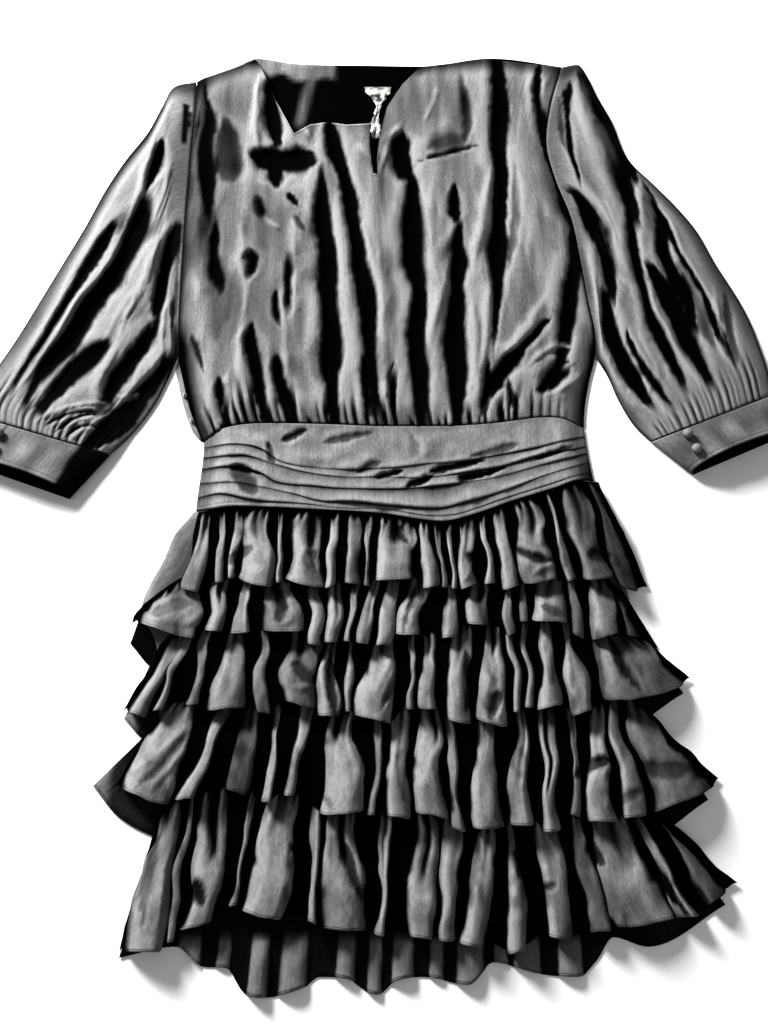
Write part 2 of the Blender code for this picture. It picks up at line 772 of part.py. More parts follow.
def make_tier_back(index, crepe):
    """Back half of a tier: flat on the bed, its seam raised over the hem of the tier before it."""
    ends = {name: column[index] for name, column in TIER_ENDS.items()}
    hem = BACK_HEMS[index]
    last = index == len(BACK_HEMS) - 1
    share = (hem["x"] - hem["x"][0]) / (hem["x"][-1] - hem["x"][0])
    if last:
        flute = (BACK_FLUTES["x"] - hem["x"][0]) / (hem["x"][-1] - hem["x"][0])
        spread = BACK_FLUTES["half"] / (hem["x"][-1] - hem["x"][0])
        share = np.union1d(share[[0, -1]], np.concatenate([flute - spread, flute, flute + spread]))
    hem_x = hem["x"][0] + share * (hem["x"][-1] - hem["x"][0])
    hem_y = np.interp(hem_x, hem["x"], hem["y"])
    top_x = ends["left_top"] + share * (ends["right_top"] - ends["left_top"])
    if index == 0:
        top_x = BAND_HEM["x"]
        share = (top_x - top_x[0]) / (top_x[-1] - top_x[0])
        hem_x = hem["x"][0] + share * (hem["x"][-1] - hem["x"][0])
        hem_y = np.interp(hem_x, hem["x"], hem["y"])
        top_y = BAND_HEM["y"] - SEAM_GAP
        rows_at = [(hem_y, 0.0), (0.5 * (hem_y + top_y), 0.0), (top_y, 0.0)]
    else:
        top_y = np.full_like(top_x, BACK_SEAM_Y[index])
        top_y[0] = ends["left_top_y"]
        top_y[-1] = ends["right_top_y"]
        over = np.minimum(BACK_HEMS[index - 1]["y"].min() - BACK_CLEARANCE, top_y - LAYER)
        down = np.maximum(over - BACK_STEP, hem_y + BACK_FLAT_SHARE * (top_y - hem_y))
        rows_at = [(hem_y, 0.0), (down, 0.0), (over, LAYER), (top_y, LAYER)]
        if last:
            start_y = np.clip(BACK_FLUTES_START_Y, hem_y + BACK_CLEARANCE, down - BACK_CLEARANCE)
            rows_at.insert(1, (start_y, 0.0))
    rows = []
    for y, lift in rows_at:
        x = hem_x + (top_x - hem_x) * (y - hem_y) / (top_y - hem_y)
        z = np.full_like(x, lift)
        if last:
            opened = ease((BACK_FLUTES_START_Y - y) / (BACK_FLUTES_START_Y - BACK_FLUTES_FULL_Y))
            away = np.abs(x[:, None] - BACK_FLUTES["x"]) / BACK_FLUTES["half"]
            z += opened * (BACK_FLUTES["rise"] * (away < 0.5)).sum(axis=1)
        rows.append(np.stack([x, y, z], axis=-1))
    add_cloth(f"tier_{index + 1}_back", np.array(rows), crepe, up=True)


def ring_shares(side):
    """Shares round a sleeve from its outer edge, over the top to the inner edge and back below.

    Also which of them are on top, and the two where the cloth turns.
    """
    heights = BODICE_SIDES["y"]
    shoulder = SHOULDER_Y[side]
    bends = heights[(heights > UNDERARM_Y) & (heights < shoulder - 5)]
    corners = np.sort((shoulder - bends) / (shoulder - UNDERARM_Y))
    ends = np.concatenate([[0], corners, [1]])
    middles = 0.5 * (ends[:-1] + ends[1:])
    top = np.union1d(np.concatenate([corners, middles]), EDGE_SHARES)
    bottom = np.union1d(corners, EDGE_SHARES)
    shares = np.concatenate([[0], top, [1], bottom[::-1]])
    place = np.arange(len(shares))
    is_top = (place > 0) & (place <= len(top))
    return shares, is_top, (place == 0) | (place == len(top) + 1)


def sleeve_section(side, cap, shares):
    """Plan points across a sleeve at a share of its length from the armhole."""
    outer = along(SLEEVE_OUTER[side], cap)
    inner = along(SLEEVE_INNER[side], cap)
    line = outer + (inner - outer) * shares[:, None]
    y = SHOULDER_Y[side] + (UNDERARM_Y - SHOULDER_Y[side]) * shares
    armhole_x = np.interp(y, BODICE_SIDES["y"], BODICE_SIDES[side])
    armhole_x += ARMHOLE_GAP * (-1 if side == "left" else 1)
    armhole = np.stack([armhole_x, y], axis=-1)
    start = np.stack([along(SLEEVE_OUTER[side], 0), along(SLEEVE_INNER[side], 0)])
    straight = start[0] + (start[1] - start[0]) * shares[:, None]
    return line + (armhole - straight) * (1 - ease(cap / ARMHOLE_PLAN_SHARE))


def dome(shares):
    return np.sqrt(np.clip(1 - (2 * shares - 1) ** 2, 0, 1))


def make_sleeve(side, crepe):
    shares, is_top, is_turn = ring_shares(side)
    zigzag = np.where(np.arange(len(shares)) % 2 == 0, 1.0, -1.0)
    rings = []
    for cap in SLEEVE_STATIONS:
        plan = sleeve_section(side, cap, shares)
        outer, inner = plan[is_turn]
        reach = np.hypot(*(outer - inner)) * np.minimum(shares, 1 - shares)
        near_armhole = 1 - ease(cap / ARMHOLE_LIFT_SHARE)
        near_cuff = ease((cap - 1 + CUFF_LIFT_SHARE) / CUFF_LIFT_SHARE)
        open_edge = armhole_lift(plan[:, 1], SHOULDER_Y[side])
        inward = ease(reach / SIDE_SLOPE_WIDTH)
        body = SLEEVE_EDGE_LIFT + 1 + (SLEEVE_LOFT - 1) * inward
        body += crease_heights(plan[:, 0], plan[:, 1], SLEEVE_CREASES[side]) * inward
        body = np.maximum(body, FRONT_EDGE + 0.5 * WALL)
        cuffed = SLEEVE_EDGE_LIFT + CUFF_LOFT * dome(shares)
        z = body + (open_edge - body) * near_armhole
        z = z + (cuffed - z) * near_cuff
        gathered = ease((cap - 1 + SLEEVE_GATHER_SHARE) / (0.5 * SLEEVE_GATHER_SHARE)) * (cap < 1)
        z += zigzag * SLEEVE_GATHER_RISE * inward * gathered
        z = np.where(is_top, z, 0.5 * WALL)
        z = np.where(is_turn, SLEEVE_EDGE_LIFT, z)
        rings.append(np.concatenate([plan, z[:, None]], axis=-1))
    add_cloth(f"sleeve_{side}", np.array(rings), crepe, ring=True)


def cuff_point(side, share, down):
    """Point on a cuff's top, across from the outer to the inner edge and down from the sleeve."""
    outer = along(SLEEVE_OUTER[side], 1)
    inner = along(SLEEVE_INNER[side], 1)
    corners = np.stack([CUFF_CORNERS[side]["x"], CUFF_CORNERS[side]["y"]], axis=-1)
    top = outer + (inner - outer) * share[:, None]
    low = corners[0] + (corners[1] - corners[0]) * share[:, None]
    away = (low - top) / np.hypot(*(low - top).T)[:, None]
    start = top + CUFF_GAP * away
    return start + (low - start) * down[:, None]


def cuff_lift(share, down):
    return SLEEVE_EDGE_LIFT + (CUFF_LOFT + CUFF_FLARE * down) * dome(share)


def make_cuff(side, crepe):
    shares, is_top, is_turn = ring_shares(side)
    rings = []
    for down in CUFF_STATIONS:
        setback = np.where(is_top, CUFF_SETBACK * dome(shares), 0)
        plan = cuff_point(side, shares, down * (1 - setback))
        z = np.where(is_top, cuff_lift(shares, down), 0.5 * WALL)
        z = np.where(is_turn, SLEEVE_EDGE_LIFT, z)
        rings.append(np.concatenate([plan, z[:, None]], axis=-1))
    add_cloth(f"cuff_{side}", np.array(rings), crepe, ring=True)


def add_ball(name, centre, radius, squash, material):
    cage = bmesh.new()
    bmesh.ops.create_uvsphere(cage, u_segments=10, v_segments=6, radius=radius * MM)
    bmesh.ops.scale(cage, vec=(1, 1, squash), verts=cage.verts)
    mesh = bpy.data.meshes.new(name)
    cage.to_mesh(mesh)
    cage.free()
    mesh.shade_smooth()
    ball = add_object(name, mesh, material)
    ball.location = under_eye(np.array(centre)) * MM


def cuff_height(side, x, y):
    """Height of a cuff's top over a place in its plan."""
    tried = np.linspace(0, 1, CUFF_TRIES)
    share, down = [values.ravel() for values in np.meshgrid(tried, tried)]
    plan = cuff_point(side, share, down * (1 - CUFF_SETBACK * dome(share)))
    nearest = np.hypot(plan[:, 0] - x, plan[:, 1] - y).argmin()
    return cuff_lift(share[nearest], down[nearest])


def make_buttons(crepe):
    for side in ("left", "right"):
        for number, (x, y, over) in enumerate(zip(*CUFF_BUTTONS[side].values()), start=1):
            lift = cuff_height(side, x, y) + 0.5 * WALL + BUTTON_RADIUS + over
            add_ball(f"button_{side}_{number}", (x, y, lift), BUTTON_RADIUS, BUTTON_SQUASH, crepe)


def make_studs(metal):
    for number, (x, y) in enumerate(zip(*PRESS_STUDS.values()), start=1):
        add_ball(f"press_stud_{number}", (x, y, LAYER + STUD_RADIUS), STUD_RADIUS, 1.0, metal)


def centre_on_origin():
    """Sets the middle of the dress's box over the origin."""
    bpy.context.view_layer.update()
    graph = bpy.context.evaluated_depsgraph_get()
    corners = []
    for obj in dress.objects:
        if obj.type == "MESH":
            placed = obj.evaluated_get(graph)
            corners += [placed.matrix_world @ point.co for point in placed.data.vertices]
    corners = np.array(corners)
    middle = 0.5 * (corners.min(axis=0) + corners.max(axis=0))
    dress_origin.location = (-middle[0], -middle[1], -corners[:, 2].min())
    print("origin moved by", [round(value, 6) for value in dress_origin.location])


for old in list(bpy.data.objects):
    bpy.data.objects.remove(old)
dress = bpy.data.collections.new("tiered_dress")
bpy.context.scene.collection.children.link(dress)
dress_origin = bpy.data.objects.new("dress_origin", None)
dress.objects.link(dress_origin)

black_crepe = add_material("black_crepe", (0.022, 0.022, 0.024), 0.82)
pale_satin = add_material("pale_satin", (0.72, 0.69, 0.63), 0.35)
stud_metal = add_material("stud_metal", (0.55, 0.55, 0.55), 0.3, metallic=1.0)

make_bodice(black_crepe)
make_neck_tape(pale_satin)
make_waistband(black_crepe)
make_base(black_crepe)
for tier in range(len(TIER_FLUTES)):
    make_tier_front(tier, black_crepe)
    make_tier_back(tier, black_crepe)
for arm in ("left", "right"):
    make_sleeve(arm, black_crepe)
    make_cuff(arm, black_crepe)
make_buttons(black_crepe)
make_studs(stud_metal)
centre_on_origin()
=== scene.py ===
import math

import bmesh
import bpy
import numpy as np
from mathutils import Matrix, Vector


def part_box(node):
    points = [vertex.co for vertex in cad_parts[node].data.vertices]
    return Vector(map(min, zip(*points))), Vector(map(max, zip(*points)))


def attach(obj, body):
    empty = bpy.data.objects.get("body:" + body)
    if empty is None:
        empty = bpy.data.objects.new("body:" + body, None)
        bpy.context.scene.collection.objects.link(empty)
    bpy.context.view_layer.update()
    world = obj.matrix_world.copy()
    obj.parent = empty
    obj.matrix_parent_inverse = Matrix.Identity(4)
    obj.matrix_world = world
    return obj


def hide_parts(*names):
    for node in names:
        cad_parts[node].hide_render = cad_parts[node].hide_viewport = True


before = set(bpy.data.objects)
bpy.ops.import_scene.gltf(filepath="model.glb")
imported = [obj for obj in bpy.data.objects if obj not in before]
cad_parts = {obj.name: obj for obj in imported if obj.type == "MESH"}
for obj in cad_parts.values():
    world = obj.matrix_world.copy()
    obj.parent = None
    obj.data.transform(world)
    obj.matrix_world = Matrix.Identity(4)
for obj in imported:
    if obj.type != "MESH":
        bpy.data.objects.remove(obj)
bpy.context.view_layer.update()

# Black crepe dress lying on its back. Tables are in millimetres on the plane that it lies on, as an
# eye above the hem sees them; placed() sets a raised point back along that line of sight.
millimetre = 0.001
eyeHeight = 630.0
rowShift = np.array([7.968, -323.656, 0.0])
wall = 1.2
layer = wall + 0.3
frontEdge = layer + 0.5 * wall


# Named columns of a table of rows
def tableOf(columns, *rows):
    return dict(zip(columns.split(), np.array(rows, float).T))


# Real places in metres of points as the eye sees them on the plane
def placed(points):
    scale = 1 - points[..., 2:3] / eyeHeight
    seen = np.concatenate([points[..., :2] * scale, points[..., 2:3]], axis=-1)
    return (seen + rowShift) * millimetre


# Smooth step from 0 to 1
def ease(value):
    value = np.clip(value, 0.0, 1.0)
    return value * value * (3 - 2 * value)


# Smooth curve through a table's points, with no overshoot
def curveAt(at, xs, ys):
    xs = np.asarray(xs, float)
    ys = np.asarray(ys, float)
    if len(xs) < 3:
        return np.interp(at, xs, ys)
    slope = np.diff(ys) / np.diff(xs)
    tangent = np.zeros_like(ys)
    tangent[1:-1] = 0.5 * (slope[:-1] + slope[1:])
    turning = slope[:-1] * slope[1:] <= 0
    tangent[1:-1] = np.where(turning, 0, tangent[1:-1])
    limit = 3 * np.minimum(np.abs(slope[:-1]), np.abs(slope[1:]))
    tangent[1:-1] = np.clip(tangent[1:-1], -limit, limit)
    tangent[0] = slope[0]
    tangent[-1] = slope[-1]
    at = np.clip(at, xs[0], xs[-1])
    i = np.clip(np.searchsorted(xs, at, side="right") - 1, 0, len(xs) - 2)
    step = xs[i + 1] - xs[i]
    t = (at - xs[i]) / step
    rise = ys[i] * (1 + 2 * t) * (1 - t) ** 2 + ys[i + 1] * t**2 * (3 - 2 * t)
    return rise + step * (tangent[i] * t * (1 - t) ** 2 - tangent[i + 1] * t**2 * (1 - t))


# Point at a share of a table's line, by its length
def along(line, share):
    steps = np.hypot(np.diff(line["x"]), np.diff(line["y"]))
    length = np.concatenate([[0], np.cumsum(steps)]) / steps.sum()
    return np.stack([curveAt(share, length, line["x"]), curveAt(share, length, line["y"])], axis=-1)


# Smooth unevenness from -1 to 1 at unit spacing, the same on every run
def softNoise(x, y, seed):
    lattice = np.random.default_rng(seed).uniform(-1, 1, (64, 64))
    x, y = np.broadcast_arrays(x, y)
    column = np.floor(x).astype(int)
    row = np.floor(y).astype(int)
    tx = ease(x - column)
    ty = ease(y - row)
    low = lattice[column % 64, row % 64] * (1 - tx) + lattice[(column + 1) % 64, row % 64] * tx
    up = (row + 1) % 64
    high = lattice[column % 64, up] * (1 - tx) + lattice[(column + 1) % 64, up] * tx
    return low * (1 - ty) + high * ty


# Three running means along an axis, close to a soft blur
def blurred(values, cells, axis):
    for _ in range(3):
        pad = [(0, 0), (0, 0)]
        pad[axis] = (cells + 1, cells)
        sums = np.cumsum(np.pad(values, pad, mode="edge"), axis=axis)
        count = values.shape[axis]
        high = np.take(sums, np.arange(count) + 2 * cells + 1, axis=axis)
        low = np.take(sums, np.arange(count), axis=axis)
        values = (high - low) / (2 * cells + 1)
    return values


# How far each point of a panel stands out of its surroundings, used as painted shading: 0 in a fold,
# painted shade, and 1 on a ridge, painted light
def foldShading(z, cellsAcross, cellsAlong, deep, middle=0.55):
    around = blurred(blurred(z, cellsAcross, 1), cellsAlong, 0)
    return np.clip(middle + (z - around) / deep, 0, 1)


# What a table of creases adds to the height, and how much shade and light it paints into the cloth's
# colour: each is a smooth line with pointed ends, a steep-sided trough between low lips that gets
# painted shade, or a soft ridge whose painted highlight lifts that shade
def creaseHeights(x, y, creases, lip=0.16, samples=12):
    total = np.zeros_like(x)
    paintedShade = np.zeros_like(x)
    paintedLight = np.zeros_like(x)
    share = np.linspace(0, 1, samples + 1)
    wanderX = x + 3.2 * softNoise(x / 30, y / 46, 12) + 0.9 * softNoise(x / 10, y / 26, 13)
    wanderX = wanderX + 0.3 * softNoise(x / 3, y / 5, 15)
    wanderY = y + 2.0 * softNoise(x / 30, y / 30, 14)
    ragged = 0.8 * softNoise(x / 4.5, y / 8, 16) + 0.5 * softNoise(x / 2.5, y / 5, 17)
    for x1, y1, x2, y2, x3, y3, half, rise in zip(*creases.values()):
        bend = [(1 - share) * (1 - 2 * share), 4 * share * (1 - share), share * (2 * share - 1)]
        lineX = bend[0] * x1 + bend[1] * x2 + bend[2] * x3
        lineY = bend[0] * y1 + bend[1] * y2 + bend[2] * y3
        reach = 3.4 * half + 4
        close = (x > lineX.min() - reach) & (x < lineX.max() + reach)
        close &= (y > lineY.min() - reach) & (y < lineY.max() + reach)
        if not close.any():
            continue
        px = wanderX[close]
        py = wanderY[close]
        nearest = np.full_like(px, np.inf)
        place = np.zeros_like(px)
        for i in range(samples):
            stepX = lineX[i + 1] - lineX[i]
            stepY = lineY[i + 1] - lineY[i]
            part = ((px - lineX[i]) * stepX + (py - lineY[i]) * stepY) / (stepX**2 + stepY**2)
            part = np.clip(part, 0, 1)
            away = np.hypot(px - lineX[i] - part * stepX, py - lineY[i] - part * stepY)
            closer = away < nearest
            nearest = np.where(closer, away, nearest)
            place = np.where(closer, (i + part) / samples, place)
        length = np.hypot(np.diff(lineX), np.diff(lineY)).sum()
        fade = ease(place / 0.3) * ease((1 - place) / 0.3)
        taper = np.clip(np.minimum(place, 1 - place) / 0.3, 0, 1)
        uneven = softNoise(place * length / 42, 0 * place + y1, 11)
        width = half * (0.08 + 0.92 * taper**0.8) * (1 + 0.35 * uneven)
        ratio = np.maximum(nearest + ragged[close], 0) / width
        if rise < 0:
            profile = ease((1.6 - ratio) / 1.4) - lip * np.exp(-((ratio - 2.1) ** 2) / 0.5)
            shade = ease((1.16 - ratio) / 0.4) * ease(fade * 3) * min(1.0, -rise / 5)
            paintedShade[close] = np.maximum(paintedShade[close], shade)
        else:
            profile = np.exp(-(ratio**2))
            shine = ease(1.4 * profile) * ease(1.6 * fade) * min(1.0, rise / 2.6)
            paintedLight[close] = np.maximum(paintedLight[close], shine)
        total[close] += rise * fade * profile
    return total, paintedShade * (1 - 0.92 * paintedLight)


def sidesAt(sides, y):
    return curveAt(y, sides["y"], sides["left"]), curveAt(y, sides["y"], sides["right"])


# Shares across a panel at the points of its edge
def acrossOf(sides, edge):
    left, right = sidesAt(sides, edge["y"])
    return (edge["x"] - left) / (right - left)


def lower(edge, amount):
    return {"x": edge["x"], "y": edge["y"] - amount}


# Plan of a panel between its sides, its low edge and its high edge
def panelPlan(sides, lowEdge, highEdge, columns, share):
    lowY = curveAt(columns, acrossOf(sides, lowEdge), lowEdge["y"])
    highY = curveAt(columns, acrossOf(sides, highEdge), highEdge["y"])
    y = lowY + (highY - lowY) * share
    left, right = sidesAt(sides, y)
    return left + (right - left) * columns, y, left, right


# New shader group with its input sockets (name, kind, default) and output sockets (name, kind)
def groupWith(name, inputs, outputs):
    group = bpy.data.node_groups.new(name, "ShaderNodeTree")
    for socketName, kind, value in inputs:
        socket = group.interface.new_socket(socketName, in_out="INPUT", socket_type=kind)
        if value is not None:
            socket.default_value = value
    for socketName, kind in outputs:
        group.interface.new_socket(socketName, in_out="OUTPUT", socket_type=kind)
    given = group.nodes.new("NodeGroupInput").outputs
    made = group.nodes.new("NodeGroupOutput").inputs
    return group, given, made


def mathNode(tree, operation, *values, clamp=False):
    node = tree.nodes.new("ShaderNodeMath")
    node.operation = operation
    node.use_clamp = clamp
    for socket, value in zip(node.inputs, values):
        if isinstance(value, (int, float)):
            socket.default_value = value
        else:
            tree.links.new(value, socket)
    return node.outputs[0]


def noiseNode(tree, vector, scale, detail=2.0, roughness=0.5):
    node = tree.nodes.new("ShaderNodeTexNoise")
    node.inputs["Scale"].default_value = scale
    node.inputs["Detail"].default_value = detail
    node.inputs["Roughness"].default_value = roughness
    tree.links.new(vector, node.inputs["Vector"])
    return node.outputs["Fac"]


def stretched(tree, vector, scale):
    node = tree.nodes.new("ShaderNodeMapping")
    node.inputs["Scale"].default_value = scale
    tree.links.new(vector, node.inputs["Vector"])
    return node.outputs["Vector"]


# Crinkled weave: twisted threads that bunch into short grains, drawn out along the warp
def buildCrepeGroup():
    group, given, made = groupWith(
        "crepeCrinkle",
        [
            ("Cloth", "NodeSocketVector", None),
            ("Painted Shading", "NodeSocketFloat", 0.5),
            ("Lit Colour", "NodeSocketColor", (0.1, 0.1, 0.1, 1)),
            ("Shade Colour", "NodeSocketColor", (0.004, 0.004, 0.004, 1)),
            ("Grain Depth", "NodeSocketFloat", 0.5),
            ("Streak Depth", "NodeSocketFloat", 0.5),
        ],
        [
            ("Colour", "NodeSocketColor"),
            ("Height", "NodeSocketFloat"),
            ("Roughness", "NodeSocketFloat"),
        ],
    )
    grain = noiseNode(group, stretched(group, given["Cloth"], (1, 0.5, 1)), 430, 3.0, 0.66)
    streak = noiseNode(group, stretched(group, given["Cloth"], (1, 0.1, 1)), 330, 3.0, 0.6)
    cloud = noiseNode(group, given["Cloth"], 28)
    warp = group.nodes.new("ShaderNodeTexWave")
    warp.wave_type = "BANDS"
    warp.bands_direction = "X"
    warp.inputs["Scale"].default_value = 560
    warp.inputs["Distortion"].default_value = 2.4
    warp.inputs["Detail"].default_value = 1.0
    warp.inputs["Detail Scale"].default_value = 1.5
    group.links.new(given["Cloth"], warp.inputs["Vector"])
    height = mathNode(group, "MULTIPLY", grain, given["Grain Depth"])
    height = mathNode(group, "ADD", height, mathNode(group, "MULTIPLY", streak, given["Streak Depth"]))
    height = mathNode(group, "ADD", height, mathNode(group, "MULTIPLY", warp.outputs["Fac"], 0.16))
    group.links.new(height, made["Height"])
    # Grains that stand up catch the light, so they are paler than the gaps
    streaked = mathNode(group, "MULTIPLY_ADD", streak, 0.5, -0.25)
    flecked = mathNode(group, "MULTIPLY_ADD", grain, 0.9, -0.45)
    clouded = mathNode(group, "MULTIPLY_ADD", cloud, 0.3, -0.15)
    uneven = mathNode(group, "ADD", mathNode(group, "ADD", streaked, flecked), clouded)
    # Unevenness fades out where painted shade fills the folds, which stay black
    uneven = mathNode(group, "MULTIPLY", uneven, given["Painted Shading"])
    # Colour runs from the near-black painted shade colour to the lit colour by the painted shading
    mix = group.nodes.new("ShaderNodeMix")
    mix.data_type = "RGBA"
    group.links.new(mathNode(group, "ADD", given["Painted Shading"], uneven, clamp=True), mix.inputs["Factor"])
    group.links.new(given["Shade Colour"], mix.inputs["A"])
    group.links.new(given["Lit Colour"], mix.inputs["B"])
    group.links.new(mix.outputs["Result"], made["Colour"])
    group.links.new(mathNode(group, "MULTIPLY_ADD", grain, -0.2, 0.82), made["Roughness"])
    return group


# Row of small stitches at a set distance from a cut or folded edge
def buildHemGroup():
    group, given, made = groupWith(
        "hemStitch",
        [
            ("Edge Distance", "NodeSocketFloat", 50.0),
            ("Along", "NodeSocketFloat", 0.0),
            ("Stitch At", "NodeSocketFloat", 3.5),
            ("Stitch Length", "NodeSocketFloat", 2.6),
        ],
        [("Height", "NodeSocketFloat")],
    )
    off = mathNode(group, "SUBTRACT", given["Edge Distance"], given["Stitch At"])
    off = mathNode(group, "ABSOLUTE", off)
    line = mathNode(group, "SUBTRACT", 1.0, mathNode(group, "DIVIDE", off, 0.35), clamp=True)
    wave = mathNode(group, "FRACT", mathNode(group, "DIVIDE", given["Along"], given["Stitch Length"]))
    thread = mathNode(group, "MULTIPLY", line, mathNode(group, "LESS_THAN", wave, 0.72))
    groove = mathNode(group, "SUBTRACT", 1.0, mathNode(group, "DIVIDE", off, 1.1), clamp=True)
    turned = mathNode(group, "LESS_THAN", given["Edge Distance"], given["Stitch At"])
    height = mathNode(group, "SUBTRACT", mathNode(group, "MULTIPLY", turned, 0.5), groove)
    height = mathNode(group, "ADD", height, mathNode(group, "MULTIPLY", thread, 0.8))
    group.links.new(height, made["Height"])
    return group


crepeGroup = buildCrepeGroup()
hemGroup = buildHemGroup()

# The crepe's lit colour, the near-black colour of painted shade in its folds, and the colour of a darker
# copy of the crepe that paints shade on the cloth's inner side
crepeLook = {
    "litColour": (0.22, 0.218, 0.215, 1),
    "shadeColour": (0.0008, 0.0008, 0.0008, 1),
    "shadedUndersideColour": (0.012, 0.012, 0.0122, 1),
    "grainDepth": 0.9,
    "streakDepth": 1.2,
    "bumpHeight": 0.0006,
    "bumpStrength": 0.8,
    "specular": 0.01,
}


def attributeNode(tree, name):
    node = tree.nodes.new("ShaderNodeAttribute")
    node.attribute_name = name
    return node


# Woven cloth with a lit colour (ridge), a painted shade colour (valley) and its own depths; fills the
# shader's colour and returns the crinkle
def wovenMaterial(name, ridge, valley, grainDepth, streakDepth):
    material = bpy.data.materials.new(name)
    material.use_nodes = True
    tree = material.node_tree
    crinkle = tree.nodes.new("ShaderNodeGroup")
    crinkle.node_tree = crepeGroup
    tree.links.new(attributeNode(tree, "clothPlace").outputs["Vector"], crinkle.inputs["Cloth"])
    tree.links.new(attributeNode(tree, "foldShading").outputs["Fac"], crinkle.inputs["Painted Shading"])
    crinkle.inputs["Lit Colour"].default_value = ridge
    crinkle.inputs["Shade Colour"].default_value = valley
    crinkle.inputs["Grain Depth"].default_value = grainDepth
    crinkle.inputs["Streak Depth"].default_value = streakDepth
    shader = tree.nodes["Principled BSDF"]
    tree.links.new(crinkle.outputs["Colour"], shader.inputs["Base Color"])
    return material, tree, shader, crinkle


def addBump(tree, shader, height, distance, strength=1.0):
    bump = tree.nodes.new("ShaderNodeBump")
    bump.inputs["Distance"].default_value = distance
    bump.inputs["Strength"].default_value = strength
    tree.links.new(height, bump.inputs["Height"])
    tree.links.new(bump.outputs["Normal"], shader.inputs["Normal"])


def crepeMaterial(name, ridge):
    depths = crepeLook["grainDepth"], crepeLook["streakDepth"]
    material, tree, shader, crinkle = wovenMaterial(name, ridge, crepeLook["shadeColour"], *depths)
    hem = tree.nodes.new("ShaderNodeGroup")
    hem.node_tree = hemGroup
    split = tree.nodes.new("ShaderNodeSeparateXYZ")
    tree.links.new(attributeNode(tree, "edgePlace").outputs["Vector"], split.inputs[0])
    tree.links.new(split.outputs["X"], hem.inputs["Edge Distance"])
    tree.links.new(split.outputs["Y"], hem.inputs["Along"])
    height = mathNode(tree, "ADD", crinkle.outputs["Height"], hem.outputs["Height"])
    addBump(tree, shader, height, crepeLook["bumpHeight"], crepeLook["bumpStrength"])
    tree.links.new(crinkle.outputs["Roughness"], shader.inputs["Roughness"])
    shader.inputs["Specular IOR Level"].default_value = crepeLook["specular"]
    return material


blackCrepe = crepeMaterial("blackCrepe", crepeLook["litColour"])
# A darker copy of the crepe for the inner side of each wall: painted shade
crepeShadedUnderside = crepeMaterial("crepeShadedUnderside", crepeLook["shadedUndersideColour"])
print("materials made")

cloth = {"thickness": 0.55, "hemThickness": 1.0, "hemWidth": 3.4, "farFromHem": 50.0}


def addPiece(name, mesh, nodeName):
    mesh.shade_smooth()
    piece = bpy.data.objects.new(name, mesh)
    bpy.context.scene.collection.objects.link(piece)
    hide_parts(nodeName)
    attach(piece, "root")
    return piece


# What the crepe's shader reads at each point: place on the flat cloth, place from the hem and the
# painted shading
def addClothLayers(mesh, place, edgePlace, paintedShading):
    for attribute, values, kind in (
        ("clothPlace", place, "FLOAT_VECTOR"),
        ("edgePlace", edgePlace, "FLOAT_VECTOR"),
        ("foldShading", paintedShading, "FLOAT"),
    ):
        layerData = mesh.attributes.new(attribute, kind, "POINT")
        values = np.ascontiguousarray(values, np.float32).ravel()
        layerData.data.foreach_set("vector" if kind == "FLOAT_VECTOR" else "value", values)


# One cloth panel on a grid of points, rows from the hem up and columns left to right.
# paintedShading is 0 to 1 for each point, from painted shade to painted light; edge the distance to its
# hem; a ring's rows close on themselves.
def clothPanel(
    name,
    nodeName,
    grid,
    paintedShading,
    edge=None,
    ring=False,
    thickness=cloth["thickness"],
    onTop=False,
    hemThickness=cloth["hemThickness"],
    hemScale=1.0,
):
    points = placed(np.stack(grid, axis=-1))
    rows, columns = points.shape[:2]
    columnAt = np.arange(columns - 1 + ring)
    rowAt = np.arange(rows - 1)[:, None]
    corner = rowAt * columns + columnAt
    beside = rowAt * columns + (columnAt + 1) % columns
    faces = np.stack([corner, beside, beside + columns, corner + columns], axis=-1).reshape(-1, 4)
    mesh = bpy.data.meshes.new(name)
    mesh.from_pydata(points.reshape(-1, 3).tolist(), [], faces.tolist())
    # Flat place on the cloth, from lengths along the grid
    across = np.linalg.norm(np.diff(points, axis=1), axis=-1)
    across = np.concatenate([np.zeros((rows, 1)), np.cumsum(across, axis=1)], axis=1)
    upward = np.linalg.norm(np.diff(points, axis=0), axis=-1)
    upward = np.concatenate([np.zeros((1, columns)), np.cumsum(upward, axis=0)], axis=0)
    # Warp threads follow the columns, however tightly the rows are gathered
    place = np.stack([across.mean(axis=0) + 0 * across, upward, 0 * across], axis=-1)
    if edge is None:
        edge = np.full((rows, columns), cloth["farFromHem"])
    edgePlace = np.stack([edge * hemScale, across / millimetre, 0 * across], axis=-1)
    addClothLayers(mesh, place, edgePlace, paintedShading)
    mesh.materials.append(blackCrepe)
    mesh.materials.append(crepeShadedUnderside)
    piece = addPiece(name, mesh, nodeName)
    hem = piece.vertex_groups.new(name="hem")
    atHem = edge.ravel() < cloth["hemWidth"]
    thick = max(thickness, hemThickness)
    hem.add(np.nonzero(atHem)[0].tolist(), 1.0, "REPLACE")
    hem.add(np.nonzero(~atHem)[0].tolist(), thickness / thick, "REPLACE")
    shell = piece.modifiers.new("wall", "SOLIDIFY")
    shell.thickness = thick * millimetre
    shell.offset = 1 if onTop else 0
    shell.vertex_group = "hem"
    # The inner side takes the darker copy of the crepe: painted shade
    shell.material_offset = 1
    return piece


